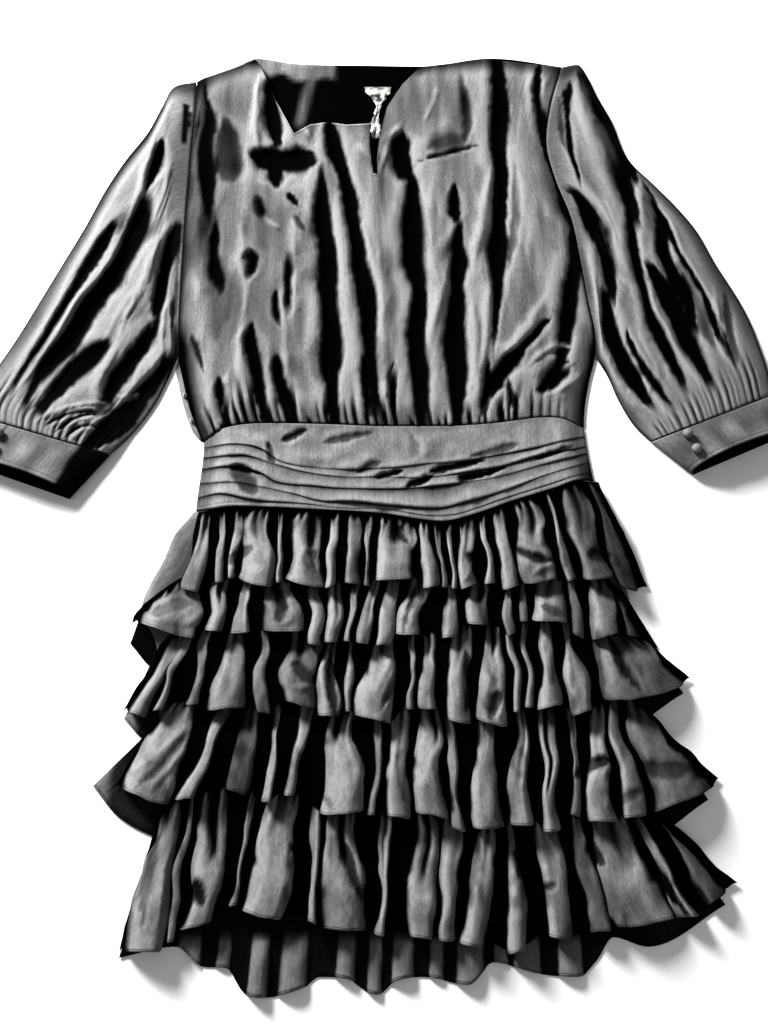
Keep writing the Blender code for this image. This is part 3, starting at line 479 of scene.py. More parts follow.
# Bodice
bodice = {
    "columns": 262,
    "rows": 150,
    "loft": 9.5,
    "armholeLift": 7.0,
    "sideSlope": 24.0,
    "shoulderSlope": 30.0,
    "waistLift": 7.4,
    "waistReach": 26.0,
    "gathers": 39,
    "gatherRise": 1.9,
    "gatherReach": 36.0,
    "gatherShade": 0.97,
    "wrinkleRise": 0.75,
    "foldDeep": 5.0,
    "foldMiddle": 0.47,
    "creaseShade": 0.985,
    "patchShade": 0.5,
    "edgeShade": 4.0,
    "neckCorners": (4, 16),
    "slitCorners": (11, 13),
}
bodiceSides = tableOf(
    "y left right",
    (295, -161, 180), (335, -178, 184), (365, -187, 191), (392, -194, 199), (420, -196, 201),
    (455, -198, 198), (500, -200, 195), (555, -202, 190), (605, -203, 178), (650, -204, 172),
    (705, -205, 180), (770, -207, 199),
)
underarmY = 392.0
shoulderY = {"left": 742.0, "right": 764.0}
waistSeam = tableOf(
    "x y",
    (-163, 303), (-148, 317), (-100, 323), (-50, 322), (0, 320), (50, 320), (100, 323), (150, 329),
    (165, 327), (181, 318),
)
shoulderLine = tableOf("x y", (-206, 742), (-144, 776), (120, 776), (199, 764))
frontTop = tableOf(
    "x y",
    (-206, 742), (-200, 747), (-160, 766), (-144, 776), (-137, 765), (-118, 715), (-96, 668),
    (-80, 680), (-60, 684), (-40, 680), (-15, 682), (-11, 614), (-7, 612), (3, 704), (20, 738),
    (40, 764), (90, 772), (120, 776), (175, 767), (197, 764),
)
backTop = tableOf(
    "x y",
    (-206, 742), (-160, 767), (-144, 777), (-100, 769), (-12, 766), (40, 765), (120, 777),
    (197, 764),
)
# Smooth line through three points, half width and rise of each fold of the front
bodiceFolds = tableOf(
    "x1 y1 x2 y2 x3 y3 half rise",
    (-199, 760, -189, 650, -178, 535, 9, -6.5),
    (-176, 700, -162, 645, -166, 596, 14, -3.4),
    (-182, 600, -178, 520, -172, 452, 15, -2.2),
    (-174, 560, -166, 505, -162, 455, 6, -4),
    (-126, 775, -121, 702, -110, 640, 6.5, -6.5),
    (-144, 650, -108, 630, -64, 641, 17, -6.5),
    (-101, 752, -96, 716, -82, 676, 3.5, -5.5),
    (-116, 640, -113, 615, -109, 590, 6, -5.5),
    (-124, 436, -121, 385, -104, 306, 6.5, -6),
    (-101, 400, -94, 362, -78, 310, 7, -6),
    (-95, 520, -91, 470, -92, 432, 5, -5),
    (-136, 520, -132, 498, -138, 476, 5, -4.5),
    (-104, 470, -103, 448, -98, 420, 3, -3.5),
    (-64, 650, -55, 460, -38, 262, 8.5, -7),
    (-72, 706, -32, 560, 0, 262, 8, -7),
    (14, 676, 16, 640, 20, 596, 12, -6.5),
    (24, 635, 32, 490, 36, 272, 9, -7),
    (73, 605, 72, 575, 71, 545, 5.5, -5),
    (78, 565, 69, 445, 64, 262, 10.5, -7),
    (128, 850, 123, 610, 100, 372, 8, -7),
    (177, 785, 168, 700, 175, 628, 4.5, -7),
    (170, 655, 188, 590, 196, 520, 9, -7),
    (200, 590, 185, 480, 158, 358, 10, -7),
    (164, 440, 134, 404, 106, 376, 5, -6),
    (136, 404, 112, 376, 94, 342, 8.5, -6.5),
    (174, 394, 160, 370, 140, 350, 9.5, -6.5),
    (201, 440, 198, 380, 186, 330, 5, -6),
    (-152, 372, -148, 345, -143, 300, 5.5, -6),
    (-184, 420, -176, 396, -168, 372, 3, -3.5),
    (-60, 430, -57, 395, -50, 352, 3, -2.6),
    (-20, 400, -16, 360, -12, 322, 4.5, -4.5),
    (12, 392, 10, 355, 8, 322, 4.5, -4.5),
    (96, 400, 94, 360, 92, 325, 5, -4.5),
    (118, 372, 120, 350, 122, 328, 4.5, -4),
    (-132, 775, -138, 704, -128, 630, 3.5, 3),
    (-116, 750, -104, 702, -98, 664, 6, 3.6),
    (-92, 700, -86, 680, -76, 656, 4.5, 3),
    (20, 690, 6, 655, -6, 612, 3.5, 2.6),
    (26, 628, 66, 640, 112, 655, 3, -2.8),
    (40, 646, 66, 655, 96, 664, 10, -1.6),
    (163, 475, 135, 420, 98, 376, 4.5, 3),
    (82, 530, 58, 480, 42, 370, 4.5, 3),
    (122, 650, 102, 560, 90, 480, 5, 3),
    (105, 480, 98, 430, 88, 340, 4, 2.4),
    (0, 345, 8, 366, 16, 392, 4, 2.2),
    (-88, 570, -90, 500, -84, 400, 7, 2.2),
    (-150, 560, -138, 500, -136, 400, 6, 2),
    (-132, 588, -126, 570, -122, 552, 6, -2.2),
    (-100, 588, -94, 578, -86, 566, 3, -4),
    (-120, 560, -112, 548, -100, 540, 4, 2.2),
    (-92, 560, -84, 545, -78, 535, 3.5, -2.6),
    (48, 610, 47, 540, 50, 450, 7, 2.2),
    (148, 700, 146, 560, 150, 470, 7, 2),
    (140, 640, 136, 560, 122, 480, 4, -2.0),
    (-20, 560, -10, 480, 6, 400, 7, 2.4),
    (-28, 660, -14, 640, -2, 640, 4, 1.6),
    (84, 765, 92, 700, 86, 648, 5, -2.2),
    (60, 745, 54, 710, 40, 682, 5, 1.5),
    (194, 765, 178, 735, 170, 690, 3, 2.5),
    (-150, 330, -145, 352, -142, 385, 4, 2.5),
    (180, 400, 160, 402, 130, 374, 2.6, 3),
    (188, 384, 168, 360, 140, 350, 2.2, 3),
    (150, 345, 160, 372, 186, 392, 3.5, 2.6),
    (-200, 762, -197, 650, -198, 470, 2.6, 2.2),
    (-196, 560, -186, 500, -188, 440, 8, 1.6),
    (-130, 440, -134, 400, -128, 345, 4, 2),
    (-96, 480, -94, 420, -88, 350, 5, 2.4),
    (84, 460, 86, 420, 80, 350, 4, 2),
)


def armholeLift(y, shoulder):
    opened = ease((y - underarmY) / 50) * ease((shoulder - y) / 45)
    return frontEdge + (bodice["armholeLift"] - frontEdge) * opened


# Columns packed where an edge bends sharply, such as the neck slit
def packedColumns(count, centre, spread, strength):
    even = np.linspace(0, 1, 2001)
    density = 1 + strength * np.exp(-(((even - centre) / spread) ** 2))
    place = np.concatenate([[0], np.cumsum(0.5 * (density[1:] + density[:-1]))])
    return np.interp(np.linspace(0, 1, count), place / place[-1], even)


def makeBodiceFront():
    corners = acrossOf(bodiceSides, frontTop)
    slitAt = corners[slice(*bodice["slitCorners"])].mean()
    columns = packedColumns(bodice["columns"], slitAt, 0.02, 3.0)
    # The sharp corners of the neckline lie on columns of their own
    for corner in corners[slice(*bodice["neckCorners"])]:
        columns[np.abs(columns - corner).argmin()] = corner
    lowY = curveAt(columns, acrossOf(bodiceSides, waistSeam), waistSeam["y"])
    highY = np.interp(columns, corners, frontTop["y"])
    # Rows lie closer together near the seam and the neck
    share = np.linspace(0, 1, bodice["rows"])[:, None]
    share = share - 0.12 * np.sin(2 * np.pi * share) / (2 * np.pi)
    y = lowY + (highY - lowY) * share
    left, right = sidesAt(bodiceSides, y)
    x = left + (right - left) * columns
    shoulder = np.where(columns < 0.5, shoulderY["left"], shoulderY["right"])
    edge = armholeLift(y, shoulder)
    fromSide = np.minimum(x - left, right - x)
    fromSides = ease(fromSide / bodice["sideSlope"])
    fromShoulder = curveAt(x, shoulderLine["x"], shoulderLine["y"]) - y
    inward = fromSides * (0.25 + 0.75 * ease(fromShoulder / bodice["shoulderSlope"]))
    z = edge + (bodice["loft"] - edge) * inward
    creased, paintedShade = creaseHeights(x, y, bodiceFolds)
    z = z + creased * inward
    wrinkles = softNoise(x / 11, y / 75, 22) + 0.6 * softNoise(x / 6.5, y / 42, 23)
    wrinkles = wrinkles + 0.5 * softNoise((x + 0.5 * y) / 26, (y - x) / 40, 24)
    z = z + bodice["wrinkleRise"] * wrinkles * inward
    aboveWaist = y - y[0]
    waist = edge + (bodice["waistLift"] - edge) * fromSides
    z = waist + (z - waist) * ease(aboveWaist / bodice["waistReach"])
    phase = bodice["gathers"] * (columns + 0.011 * softNoise(columns * 29, aboveWaist / 60, 25))
    uneven = 0.75 + 0.6 * softNoise(columns * 26, 0 * y, 26)
    gathers = np.cos(2 * np.pi * phase) * bodice["gatherRise"] * uneven * inward
    reach = bodice["gatherReach"] * (0.85 + 0.7 * softNoise(columns * 30, 3 + 0 * y, 27))
    z = z + gathers * (0.35 + 0.65 * ease(aboveWaist / 7)) * ease(1 - aboveWaist / reach)
    z = np.maximum(z, frontEdge - 0.2)
    paintedShading = foldShading(z, 10, 6, bodice["foldDeep"], bodice["foldMiddle"])
    fromTop = (highY - lowY) * (1 - share)
    # Painted highlight along the bound neck edge, which stands up a little
    neckHighlight = ease((x + 92) / 4) * ease((-13 - x) / 4) * ease(1 - fromTop / 3.2)
    # Painted light over the middle and the right, and painted shade in patches of the front
    paintedLight = 1.04 + 0.3 * ease((x + 60) / 50) * ease((700 - y) / 60)
    patch = softNoise(x / 20, y / 55, 28) + 0.4 * softNoise(x / 8, y / 20, 29)
    paintedShading = paintedShading * (paintedLight - bodice["patchShade"] * ease((patch - 0.15) / 0.7)) + 0.5 * neckHighlight
    # Painted shadow at the upper left, and painted shade in the creases, between the gathers at the
    # waist and towards the sides
    shadow = 1 - 0.45 * ease((-150 - x) / 25) * ease((y - 470) / 60)
    gatherShade = ease(-gathers / bodice["gatherRise"] * 4 - 0.1) * ease(1.4 - 1.3 * aboveWaist / reach)
    paintedShading = np.clip(paintedShading, 0, 1) * (1 - bodice["creaseShade"] * paintedShade) * shadow
    paintedShading = paintedShading * (1 - bodice["gatherShade"] * gatherShade)
    paintedShading = paintedShading * (0.2 + 0.8 * ease(fromSide / bodice["edgeShade"]))
    return clothPanel("bodiceFront", "bodice_front", (x, y, z), paintedShading, fromTop)


bodiceUnder = {"columns": 100, "rows": 90, "underlap": 5.0, "wave": 0.35, "placketLight": 0.8}


def makeBodiceBack():
    columns = np.linspace(0, 1, bodiceUnder["columns"])
    share = np.linspace(0, 1, bodiceUnder["rows"])[:, None]
    x, y, left, right = panelPlan(bodiceSides, waistSeam, backTop, columns, share)
    lap = ease((y - 300) / 14) * ease((390 - y) / 14) * (1 - ease(columns / 0.04))
    x = x - bodiceUnder["underlap"] * lap
    inside = ease(np.minimum(x - left, right - x) / 20) * ease(share / 0.1)
    z = bodiceUnder["wave"] * (1 + softNoise(x / 14, y / 60, 31)) * inside
    # Inside the neck, painted light makes the back grey at its left and along a hanging strip; painted
    # shade keeps it black elsewhere
    streaks = 0.5 + 0.35 * softNoise(x / 7, y / 60, 32)
    ragged = 9 * softNoise(x / 16, y / 30, 33)
    paintedLight = ease((y - 742 + ragged) / 12) * ease((-44 - x - ragged) / 18)
    strip = ease(1 - np.abs(x + 84 - 0.16 * (y - 725)) / 9) * ease((y - 668) / 20)
    # Painted light on the placket at the left side
    placket = bodiceUnder["placketLight"] * ease((402 - y) / 14) * ease((left + 14 - x) / 6)
    paintedShading = streaks * np.maximum(paintedLight, 0.75 * strip) + placket
    return clothPanel("bodiceBack", "bodice_back", (x, y, z), paintedShading, onTop=True)


bodiceFront = makeBodiceFront()
bodiceBack = makeBodiceBack()
print("bodice made")

# Waistband with soft tucks across; each line is a tuck's lower lip
band = {
    "columns": 230,
    "hemLift": 12.0,
    "topLift": 7.6,
    "tuckRise": 1.9,
    "lip": 0.6,
    "openLip": 0.7,
    "tuckApart": 3.2,
    "cellHeight": 1.5,
    "wrinkleRise": 0.7,
    "foldDeep": 2.2,
    "creaseShade": 0.95,
    "plainColumns": 80,
    "plainRows": 16,
}
bandSides = tableOf(
    "y left right",
    (225, -164, 192), (240, -164, 189), (290, -162, 183), (330, -166, 181),
)
bandHem = tableOf(
    "x y",
    (-164, 236), (-130, 241), (-60, 238), (0, 234), (30, 229), (50, 227), (80, 234), (110, 245),
    (150, 258), (175, 266), (190, 264),
)
# How far each tuck is open says how deep its lip is and how much shade is painted under it
bandTucks = [
    tableOf(
        "x y open",
        (-164, 298, 0.9), (-130, 301, 1.2), (-110, 298, 1.0), (-95, 287, 0.6), (-60, 279, 0.35),
        (-20, 277, 0.7), (10, 278, 0.9), (50, 283, 0.5), (100, 291, 0.8), (150, 302, 1.2),
        (184, 309, 1.0),
    ),
    tableOf(
        "x y open",
        (-164, 288, 1.0), (-130, 291, 0.9), (-100, 282, 0.6), (-60, 273, 0.35), (-30, 270, 0.25),
        (0, 269, 0.4), (60, 272, 1.0), (100, 280, 0.8), (150, 293, 1.2), (184, 300, 1.0),
    ),
    tableOf(
        "x y open",
        (-164, 277, 1.0), (-140, 281, 1.2), (-110, 275, 1.2), (-95, 266, 0.8), (-60, 261, 0.75),
        (20, 259, 0.9), (50, 262, 1.0), (100, 270, 0.6), (150, 284, 0.7), (184, 293, 1.0),
    ),
    tableOf(
        "x y open",
        (-164, 264, 0.9), (-135, 265, 0.6), (-100, 259, 0.2), (-78, 254, 0.5), (-46, 246, 1.5),
        (-30, 246, 1.8), (0, 243, 1.8), (45, 240, 1.8), (70, 246, 1.7), (100, 255, 1.2),
        (140, 270, 0.5), (184, 284, 0.8),
    ),
    tableOf(
        "x y open",
        (-164, 250, 0.6), (-145, 253, 0.7), (-120, 249, 1.1), (-95, 246, 0.8), (-60, 242, 0.3),
        (0, 238.5, 0.2), (40, 234, 0.25), (60, 235, 0.4), (80, 241, 0.3), (110, 251, 0.25),
        (150, 264, 0.3), (184, 274, 0.5),
    ),
]
bandDimples = tableOf(
    "x1 y1 x2 y2 x3 y3 half rise",
    (-138, 284, -124, 268, -110, 250, 8, -3.4),
    (-142, 280, -126, 278, -104, 272, 3.4, -4.6),
    (36, 271, 62, 278, 94, 288, 3.6, -5),
    (62, 264, 86, 272, 112, 279, 3.6, -5),
    (16, 257, 32, 263, 46, 270, 3.4, -5),
    (-10, 268, 4, 271, 20, 275, 2.2, -4.5),
    (-94, 304, -80, 310, -66, 316, 4, -4),
    (-58, 301, -34, 307, -8, 314, 4, -2.8),
    (-28, 273, -14, 279, 2, 286, 3.4, -2.8),
    (70, 288, 98, 294, 126, 303, 3.4, -2.6),
    (-105, 308, -101, 292, -97, 280, 3.2, -3),
    (132, 286, 150, 292, 176, 300, 2.6, -4),
    (22, 316, 28, 300, 24, 284, 5, -1.4),
    (-150, 312, -120, 309, -98, 300, 6, 0.9),
    (30, 312, 80, 313, 140, 318, 7, 0.9),
    (34, 314, 38, 300, 36, 286, 4, 1.4),
    (-84, 294, -60, 288, -30, 294, 5, 1.2),
    (96, 258, 120, 262, 150, 276, 4, 1.2),
)


def makeWaistband():
    bandTop = lower(waistSeam, 1.0)
    columns = np.linspace(0, 1, band["columns"])
    lowY = curveAt(columns, acrossOf(bandSides, bandHem), bandHem["y"])
    highY = curveAt(columns, acrossOf(bandSides, bandTop), bandTop["y"])
    midLeft, midRight = sidesAt(bandSides, np.full(1, 270.0))
    across = midLeft + (midRight - midLeft) * columns
    # Band edges from the hem up: each tuck's lip stands over the strip below it
    flat = 0 * across
    lines = [(lowY, flat, 1 + flat)]
    last = lowY
    for number, tuck in enumerate(reversed(bandTucks)):
        lipY = curveAt(across, tuck["x"], tuck["y"])
        lipY = lipY + 1.2 * softNoise(across / 35, flat + number, 41)
        lipY = np.clip(lipY, last + band["tuckApart"], highY - 3.0)
        opened = np.interp(across, tuck["x"], tuck["open"])
        opened = opened * np.clip(1 + 0.5 * softNoise(across / 26, flat + 7 * number, 42), 0.3, 1.4)
        # Under each lip the light tone drops: painted shadow, darker where the tuck is more open
        under = lipY - band["lip"] - band["openLip"] * opened
        lines.append((under, flat, np.clip(0.8 - 0.85 * opened, 0, 1)))
        lines.append((lipY, opened, 1 + flat))
        last = lipY
    lines.append((highY, flat, 0.8 + flat))
    rows = [lines[0]]
    for number, (y1, rise1, tone1) in enumerate(lines[1:], 1):
        y0, rise0, tone0 = lines[number - 1]
        isLip = number % 2 == 0
        count = 3 if isLip else max(6, round(float(np.mean(y1 - y0)) / band["cellHeight"]))
        for step in range(1, count + 1):
            t = step / count
            y = y0 + (y1 - y0) * t
            rise = rise0 + (rise1 - rise0) * (ease(t) if isLip else t)
            rows.append((y, rise, tone0 + (tone1 - tone0) * (ease(t) if isLip else t**4)))
    y, rise, tone = np.moveaxis(np.array(rows), 1, 0)
    left, right = sidesAt(bandSides, y)
    x = left + (right - left) * columns
    up = (y - lowY) / (highY - lowY)
    loft = band["hemLift"] + (band["topLift"] - band["hemLift"]) * up
    inward = ease(np.minimum(x - left, right - x) / bodice["sideSlope"])
    z = frontEdge + (loft - frontEdge + rise * band["tuckRise"]) * inward
    ripples = softNoise(x / 16, y / 9, 43) + 0.6 * softNoise(x / 7, y / 12, 44)
    creased, paintedShade = creaseHeights(x, y, bandDimples)
    z = z + band["wrinkleRise"] * (ripples + creased) * inward
    paintedShading = foldShading(z, 8, 3, band["foldDeep"])
    # Painted shadow under the lips and painted shade in the dimples
    paintedShading = np.clip(0.42 * paintedShading + 0.5, 0, 1) * (0.04 + 0.96 * tone)
    paintedShading = paintedShading * (1 - band["creaseShade"] * paintedShade)
    # The right end turns down into shadow
    paintedShading = paintedShading * (1 - 0.9 * ease((x - 168 - 0.3 * (y - 270)) / 16))
    # Painted shade along the hem edge
    paintedShading = paintedShading * (0.35 + 0.65 * ease((y - lowY) / 1.5))
    return clothPanel("waistbandFront", "waistband_front", (x, y, z), paintedShading, y - lowY)


def makeWaistbandBack():
    columns = np.linspace(0, 1, band["plainColumns"])
    share = np.linspace(0, 1, band["plainRows"])[:, None]
    x, y = panelPlan(bandSides, bandHem, lower(waistSeam, 0.4), columns, share)[:2]
    z = 0.12 * (1 + softNoise(x / 12, y / 8, 45))
    paintedShading = np.full_like(x, 0.4)
    return clothPanel("waistbandBack", "waistband_back", (x, y, z), paintedShading, onTop=True)


waistbandFront = makeWaistband()
waistbandBack = makeWaistbandBack()
print("waistband made")

# Foundation of the skirt
base = {"columns": 70, "rows": 36, "wave": 0.1, "thickness": 0.8, "edgeWidth": 24.0}
baseSides = tableOf(
    "y left right",
    (-10, -166, 196), (60, -178, 198), (120, -187, 200), (150, -202, 199), (170, -197, 198),
    (190, -188, 196), (215, -180, 193), (240, -164, 189), (270, -163, 187),
)
baseLow = tableOf("x y", (-166, -8), (196, -8))


def makeBase(name, nodeName, lift):
    columns = np.linspace(0, 1, base["columns"])
    share = np.linspace(0, 1, base["rows"])[:, None]
    x, y, left, right = panelPlan(baseSides, baseLow, lower(bandHem, 1.0), columns, share)
    z = lift + base["wave"] * (1 + softNoise(x / 12, y / 25, 51))
    # Painted light near the sides, where the foundation comes out from under the tiers; painted shade
    # further in
    nearSide = ease(1 - np.minimum(x - left, right - x) / base["edgeWidth"])
    streaks = 0.7 + 0.5 * softNoise(x / 7, y / 18, 52)
    paintedShading = np.clip(0.25 + 0.55 * nearSide * streaks, 0, 1)
    thick = base["thickness"]
    return clothPanel(name, nodeName, (x, y, z), paintedShading, thickness=thick, hemThickness=thick, onTop=True)


skirtBaseFront = makeBase("skirtBaseFront", "skirt_base_front", 3 * layer)
skirtBaseBack = makeBase("skirtBaseBack", "skirt_base_back", 2 * layer)

# Tiers: each flute is a rounded fold from the seam to the hem
tier = {
    "seamLift": 4 * layer + 0.5 * wall,
    "hemLift": 12.6,
    "lastHemLift": 7.2,
    "overlap": 9.0,
    "seamRise": 0.34,
    "gatheredDepth": 20.0,
    "valleyRaise": 3.0,
    "turn": 1.58,
    "rows": 46,
    "cell": 1.95,
    "gatherPitch": 6.4,
    "gatherRise": 1.25,
    "sway": 3.0,
    "crush": 0.6,
    "bend": 4.2,
    "bendShare": (0.75, 0.35, 0.75, 0.75, 0.75),
    "flare": 0.06,
    "patchShade": 0.5,
    "creaseShade": 0.95,
    "seamReach": 26.0,
    "hemThickness": 0.6,
    "hemScale": 2.4,
}
# Flutes of each tier: its sides at the seam and at the hem, hem heights at both sides, rise, how much
# painted light it gets and how deep a fork splits it at the seam
fluteColumns = "topLeft topRight hemLeft hemRight lowLeft lowRight rise tone fork"
tierFlutes = [
    tableOf(
        fluteColumns,
        (-160, -151, -171, -157, 167, 163, 8, 0.85, 0.3),
        (-144, -139, -143, -136, 172, 172, 7, 0.9, 0),
        (-129, -124, -132, -127, 175, 175, 7, 0.9, 0),
        (-118, -98, -122, -95, 174, 167, 12, 0.95, 0.3),
        (-93, -88, -91, -86, 172, 172, 9, 0.85, 0),
        (-76, -52, -83, -52, 175, 166, 12, 0.9, 0.7),
        (-44, -37, -50, -42, 166, 170, 12, 1, 0),
        (-31, -21, -33, -20, 171, 169, 9, 0.6, 0),
        (-14, -9, -17, -12, 169, 168, 10, 0.85, 0),
        (-5, 25, -8, 27, 173, 175, 13, 1, 0.55),
        (29, 40, 33, 46, 166, 169, 12, 0.95, 0),
        (43, 49, 48.5, 53, 168, 167, 8, 0.8, 0),
        (55, 60, 57, 62, 167, 166, 9, 0.9, 0),
        (65, 80, 65, 78, 165, 171, 12, 0.95, 0.35),
        (84, 89, 85, 94, 170, 171, 9, 0.9, 0),
        (96, 103, 101, 114, 165, 170, 11, 0.95, 0),
        (112, 131, 118, 147, 170, 175, 13, 0.85, 0.5),
        (140, 145, 155, 162, 172, 176, 10, 0.9, 0),
        (156, 172, 170, 195, 173, 176, 11, 0.5, 0.4),
        (178, 187, 200, 213, 169, 164, 8, 0.25, 0),
    ),
    tableOf(
        fluteColumns,
        (-188, -155, -203, -154, 137, 123, 10, 0.75, 0.15),
        (-141, -129, -148, -134, 131, 130, 11, 0.85, 0.8),
        (-118, -111, -126, -110, 128, 130, 11, 0.85, 0),
        (-98, -78, -101, -68, 131, 129, 12, 0.75, 0.75),
        (-63, -54, -62, -52, 119, 119, 12, 0.9, 0),
        (-47, -34, -49, -38, 121, 121, 12, 0.9, 0.4),
        (-26, -19, -33, -28, 122, 122, 10, 0.9, 0),
        (-10, -1, -22, -12, 121, 119, 12, 0.85, 0.3),
        (4, 16, -7, 6, 118, 119, 11, 0.95, 0),
        (22, 39, 10, 30, 128, 128, 12, 0.95, 0.35),
        (54, 62, 47, 59, 124, 125, 9, 0.9, 0),
        (73, 90, 70, 87, 137, 135, 12, 0.8, 0.5),
        (99, 104, 102, 108, 126, 130, 10, 0.9, 0),
        (114, 119, 113, 119, 139, 139, 8, 0.7, 0),
        (134, 153, 124, 151, 140, 137, 13, 0.95, 0.3),
        (155, 161, 156, 164, 129, 124, 10, 0.5, 0),
        (173, 190, 172, 194, 122, 130, 12, 0.7, 0.35),
        (194, 198, 200, 209, 127, 124, 7, 0.2, 0),
    ),
    tableOf(
        fluteColumns,
        (-178, -165, -204, -189, 66, 61, 9, 0.8, 0),
        (-160, -155, -184, -176, 66, 68, 9, 0.9, 0),
        (-149, -142, -158, -147, 71, 72, 9, 0.8, 0),
        (-129, -118, -142, -111, 66, 70, 12, 0.75, 0.2),
        (-104, -98, -101, -90, 65, 64, 9, 0.8, 0),
        (-80, -52, -80, -56, 74, 68, 12, 0.55, 0.6),
        (-49, -39, -52, -36, 62, 61, 10, 0.8, 0.3),
        (-30, -24, -31, -26, 66, 66, 8, 0.7, 0),
        (-8, 8, -23, 5, 63, 56, 13, 1, 0.4),
        (21, 25, 18, 24, 68, 67, 9, 0.85, 0),
        (31, 43, 28, 41, 67, 68, 12, 0.95, 0.3),
        (57, 70, 51, 68, 59, 56, 13, 0.9, 0.35),
        (84, 97, 74, 96, 60, 53, 13, 0.9, 0.8),
        (103, 107, 103, 108, 65, 65, 10, 0.85, 0),
        (113, 121, 112, 119, 69, 69, 8, 0.8, 0),
        (128, 137, 123, 142, 66, 72, 13, 0.95, 0),
        (146, 155, 149, 166, 62, 67, 13, 0.9, 0),
        (165, 205, 177, 240, 72, 84, 12, 0.5, 0.3),
    ),
    tableOf(
        fluteColumns,
        (-168, -143, -203, -166, 8, -5, 10, 0.95, 0.1),
        (-126, -117, -160, -147, -1, 1, 12, 0.95, 0),
        (-108, -93, -121, -106, 7, 3, 9, 0.35, 0.3),
        (-87, -82, -94, -88, -2, -2, 10, 0.9, 0),
        (-66, -54, -77, -69, 3, 3, 9, 0.85, 0),
        (-40, -20, -48, -16, -11, -8, 13, 0.95, 0.85),
        (-6, 0, -13, -7, -11, -11, 9, 0.8, 0),
        (5, 22, 2, 19, -12, -13, 12, 0.85, 0.2),
        (30, 44, 25, 48, -9, -14, 13, 0.9, 0.55),
        (48, 55, 51, 62, -20, -23, 10, 0.75, 0),
        (72, 88, 69, 90, -21, -21, 14, 0.85, 0),
        (103, 110, 96, 113, -18, -18, 12, 0.9, 0.3),
        (122, 136, 121, 133, -23, -22, 12, 0.95, 0.8),
        (146, 155, 142, 150, -10, -13, 9, 0.7, 0),
        (163, 174, 155, 178, -16, -15, 12, 0.95, 0.2),
        (180, 187, 182, 199, -14, -12, 9, 0.8, 0),
        (192, 211, 205, 253, -10, 8, 11, 0.5, 0.25),
    ),
    tableOf(
        fluteColumns,
        (-170, -153, -187, -162, -103, -103, 12, 0.9, 0),
        (-150, -146, -157, -153, -97, -95, 8, 0.85, 0),
        (-140, -118, -148, -126, -90, -82, 11, 0.8, 0.95),
        (-100, -96, -114, -109, -74, -73, 9, 0.75, 0),
        (-88, -64, -104, -76, -77, -83, 12, 0.9, 0.3),
        (-54, -49, -56, -49, -83, -85, 11, 0.95, 0),
        (-43, -23, -45, -15, -87, -90, 13, 0.75, 0.7),
        (-1, 7, -7, 0, -92, -92, 12, 1, 0.4),
        (24, 39, 18, 36, -93, -95, 12, 0.85, 0.7),
        (46, 58, 40, 51, -95, -96, 12, 0.85, 0),
        (71, 84, 55, 72, -98, -100, 13, 0.9, 0),
        (91, 98, 90, 102, -104, -101, 12, 0.9, 0),
        (113, 129, 119, 135, -93, -95, 12, 0.85, 0.2),
        (142, 148, 150, 165, -91, -88, 9, 0.5, 0),
        (153, 180, 168, 212, -88, -82, 12, 0.8, 0.35),
        (184, 190, 214, 230, -81, -79, 10, 0.75, 0),
        (202, 207, 238, 251, -73, -65, 8, 0.35, 0),
    ),
]
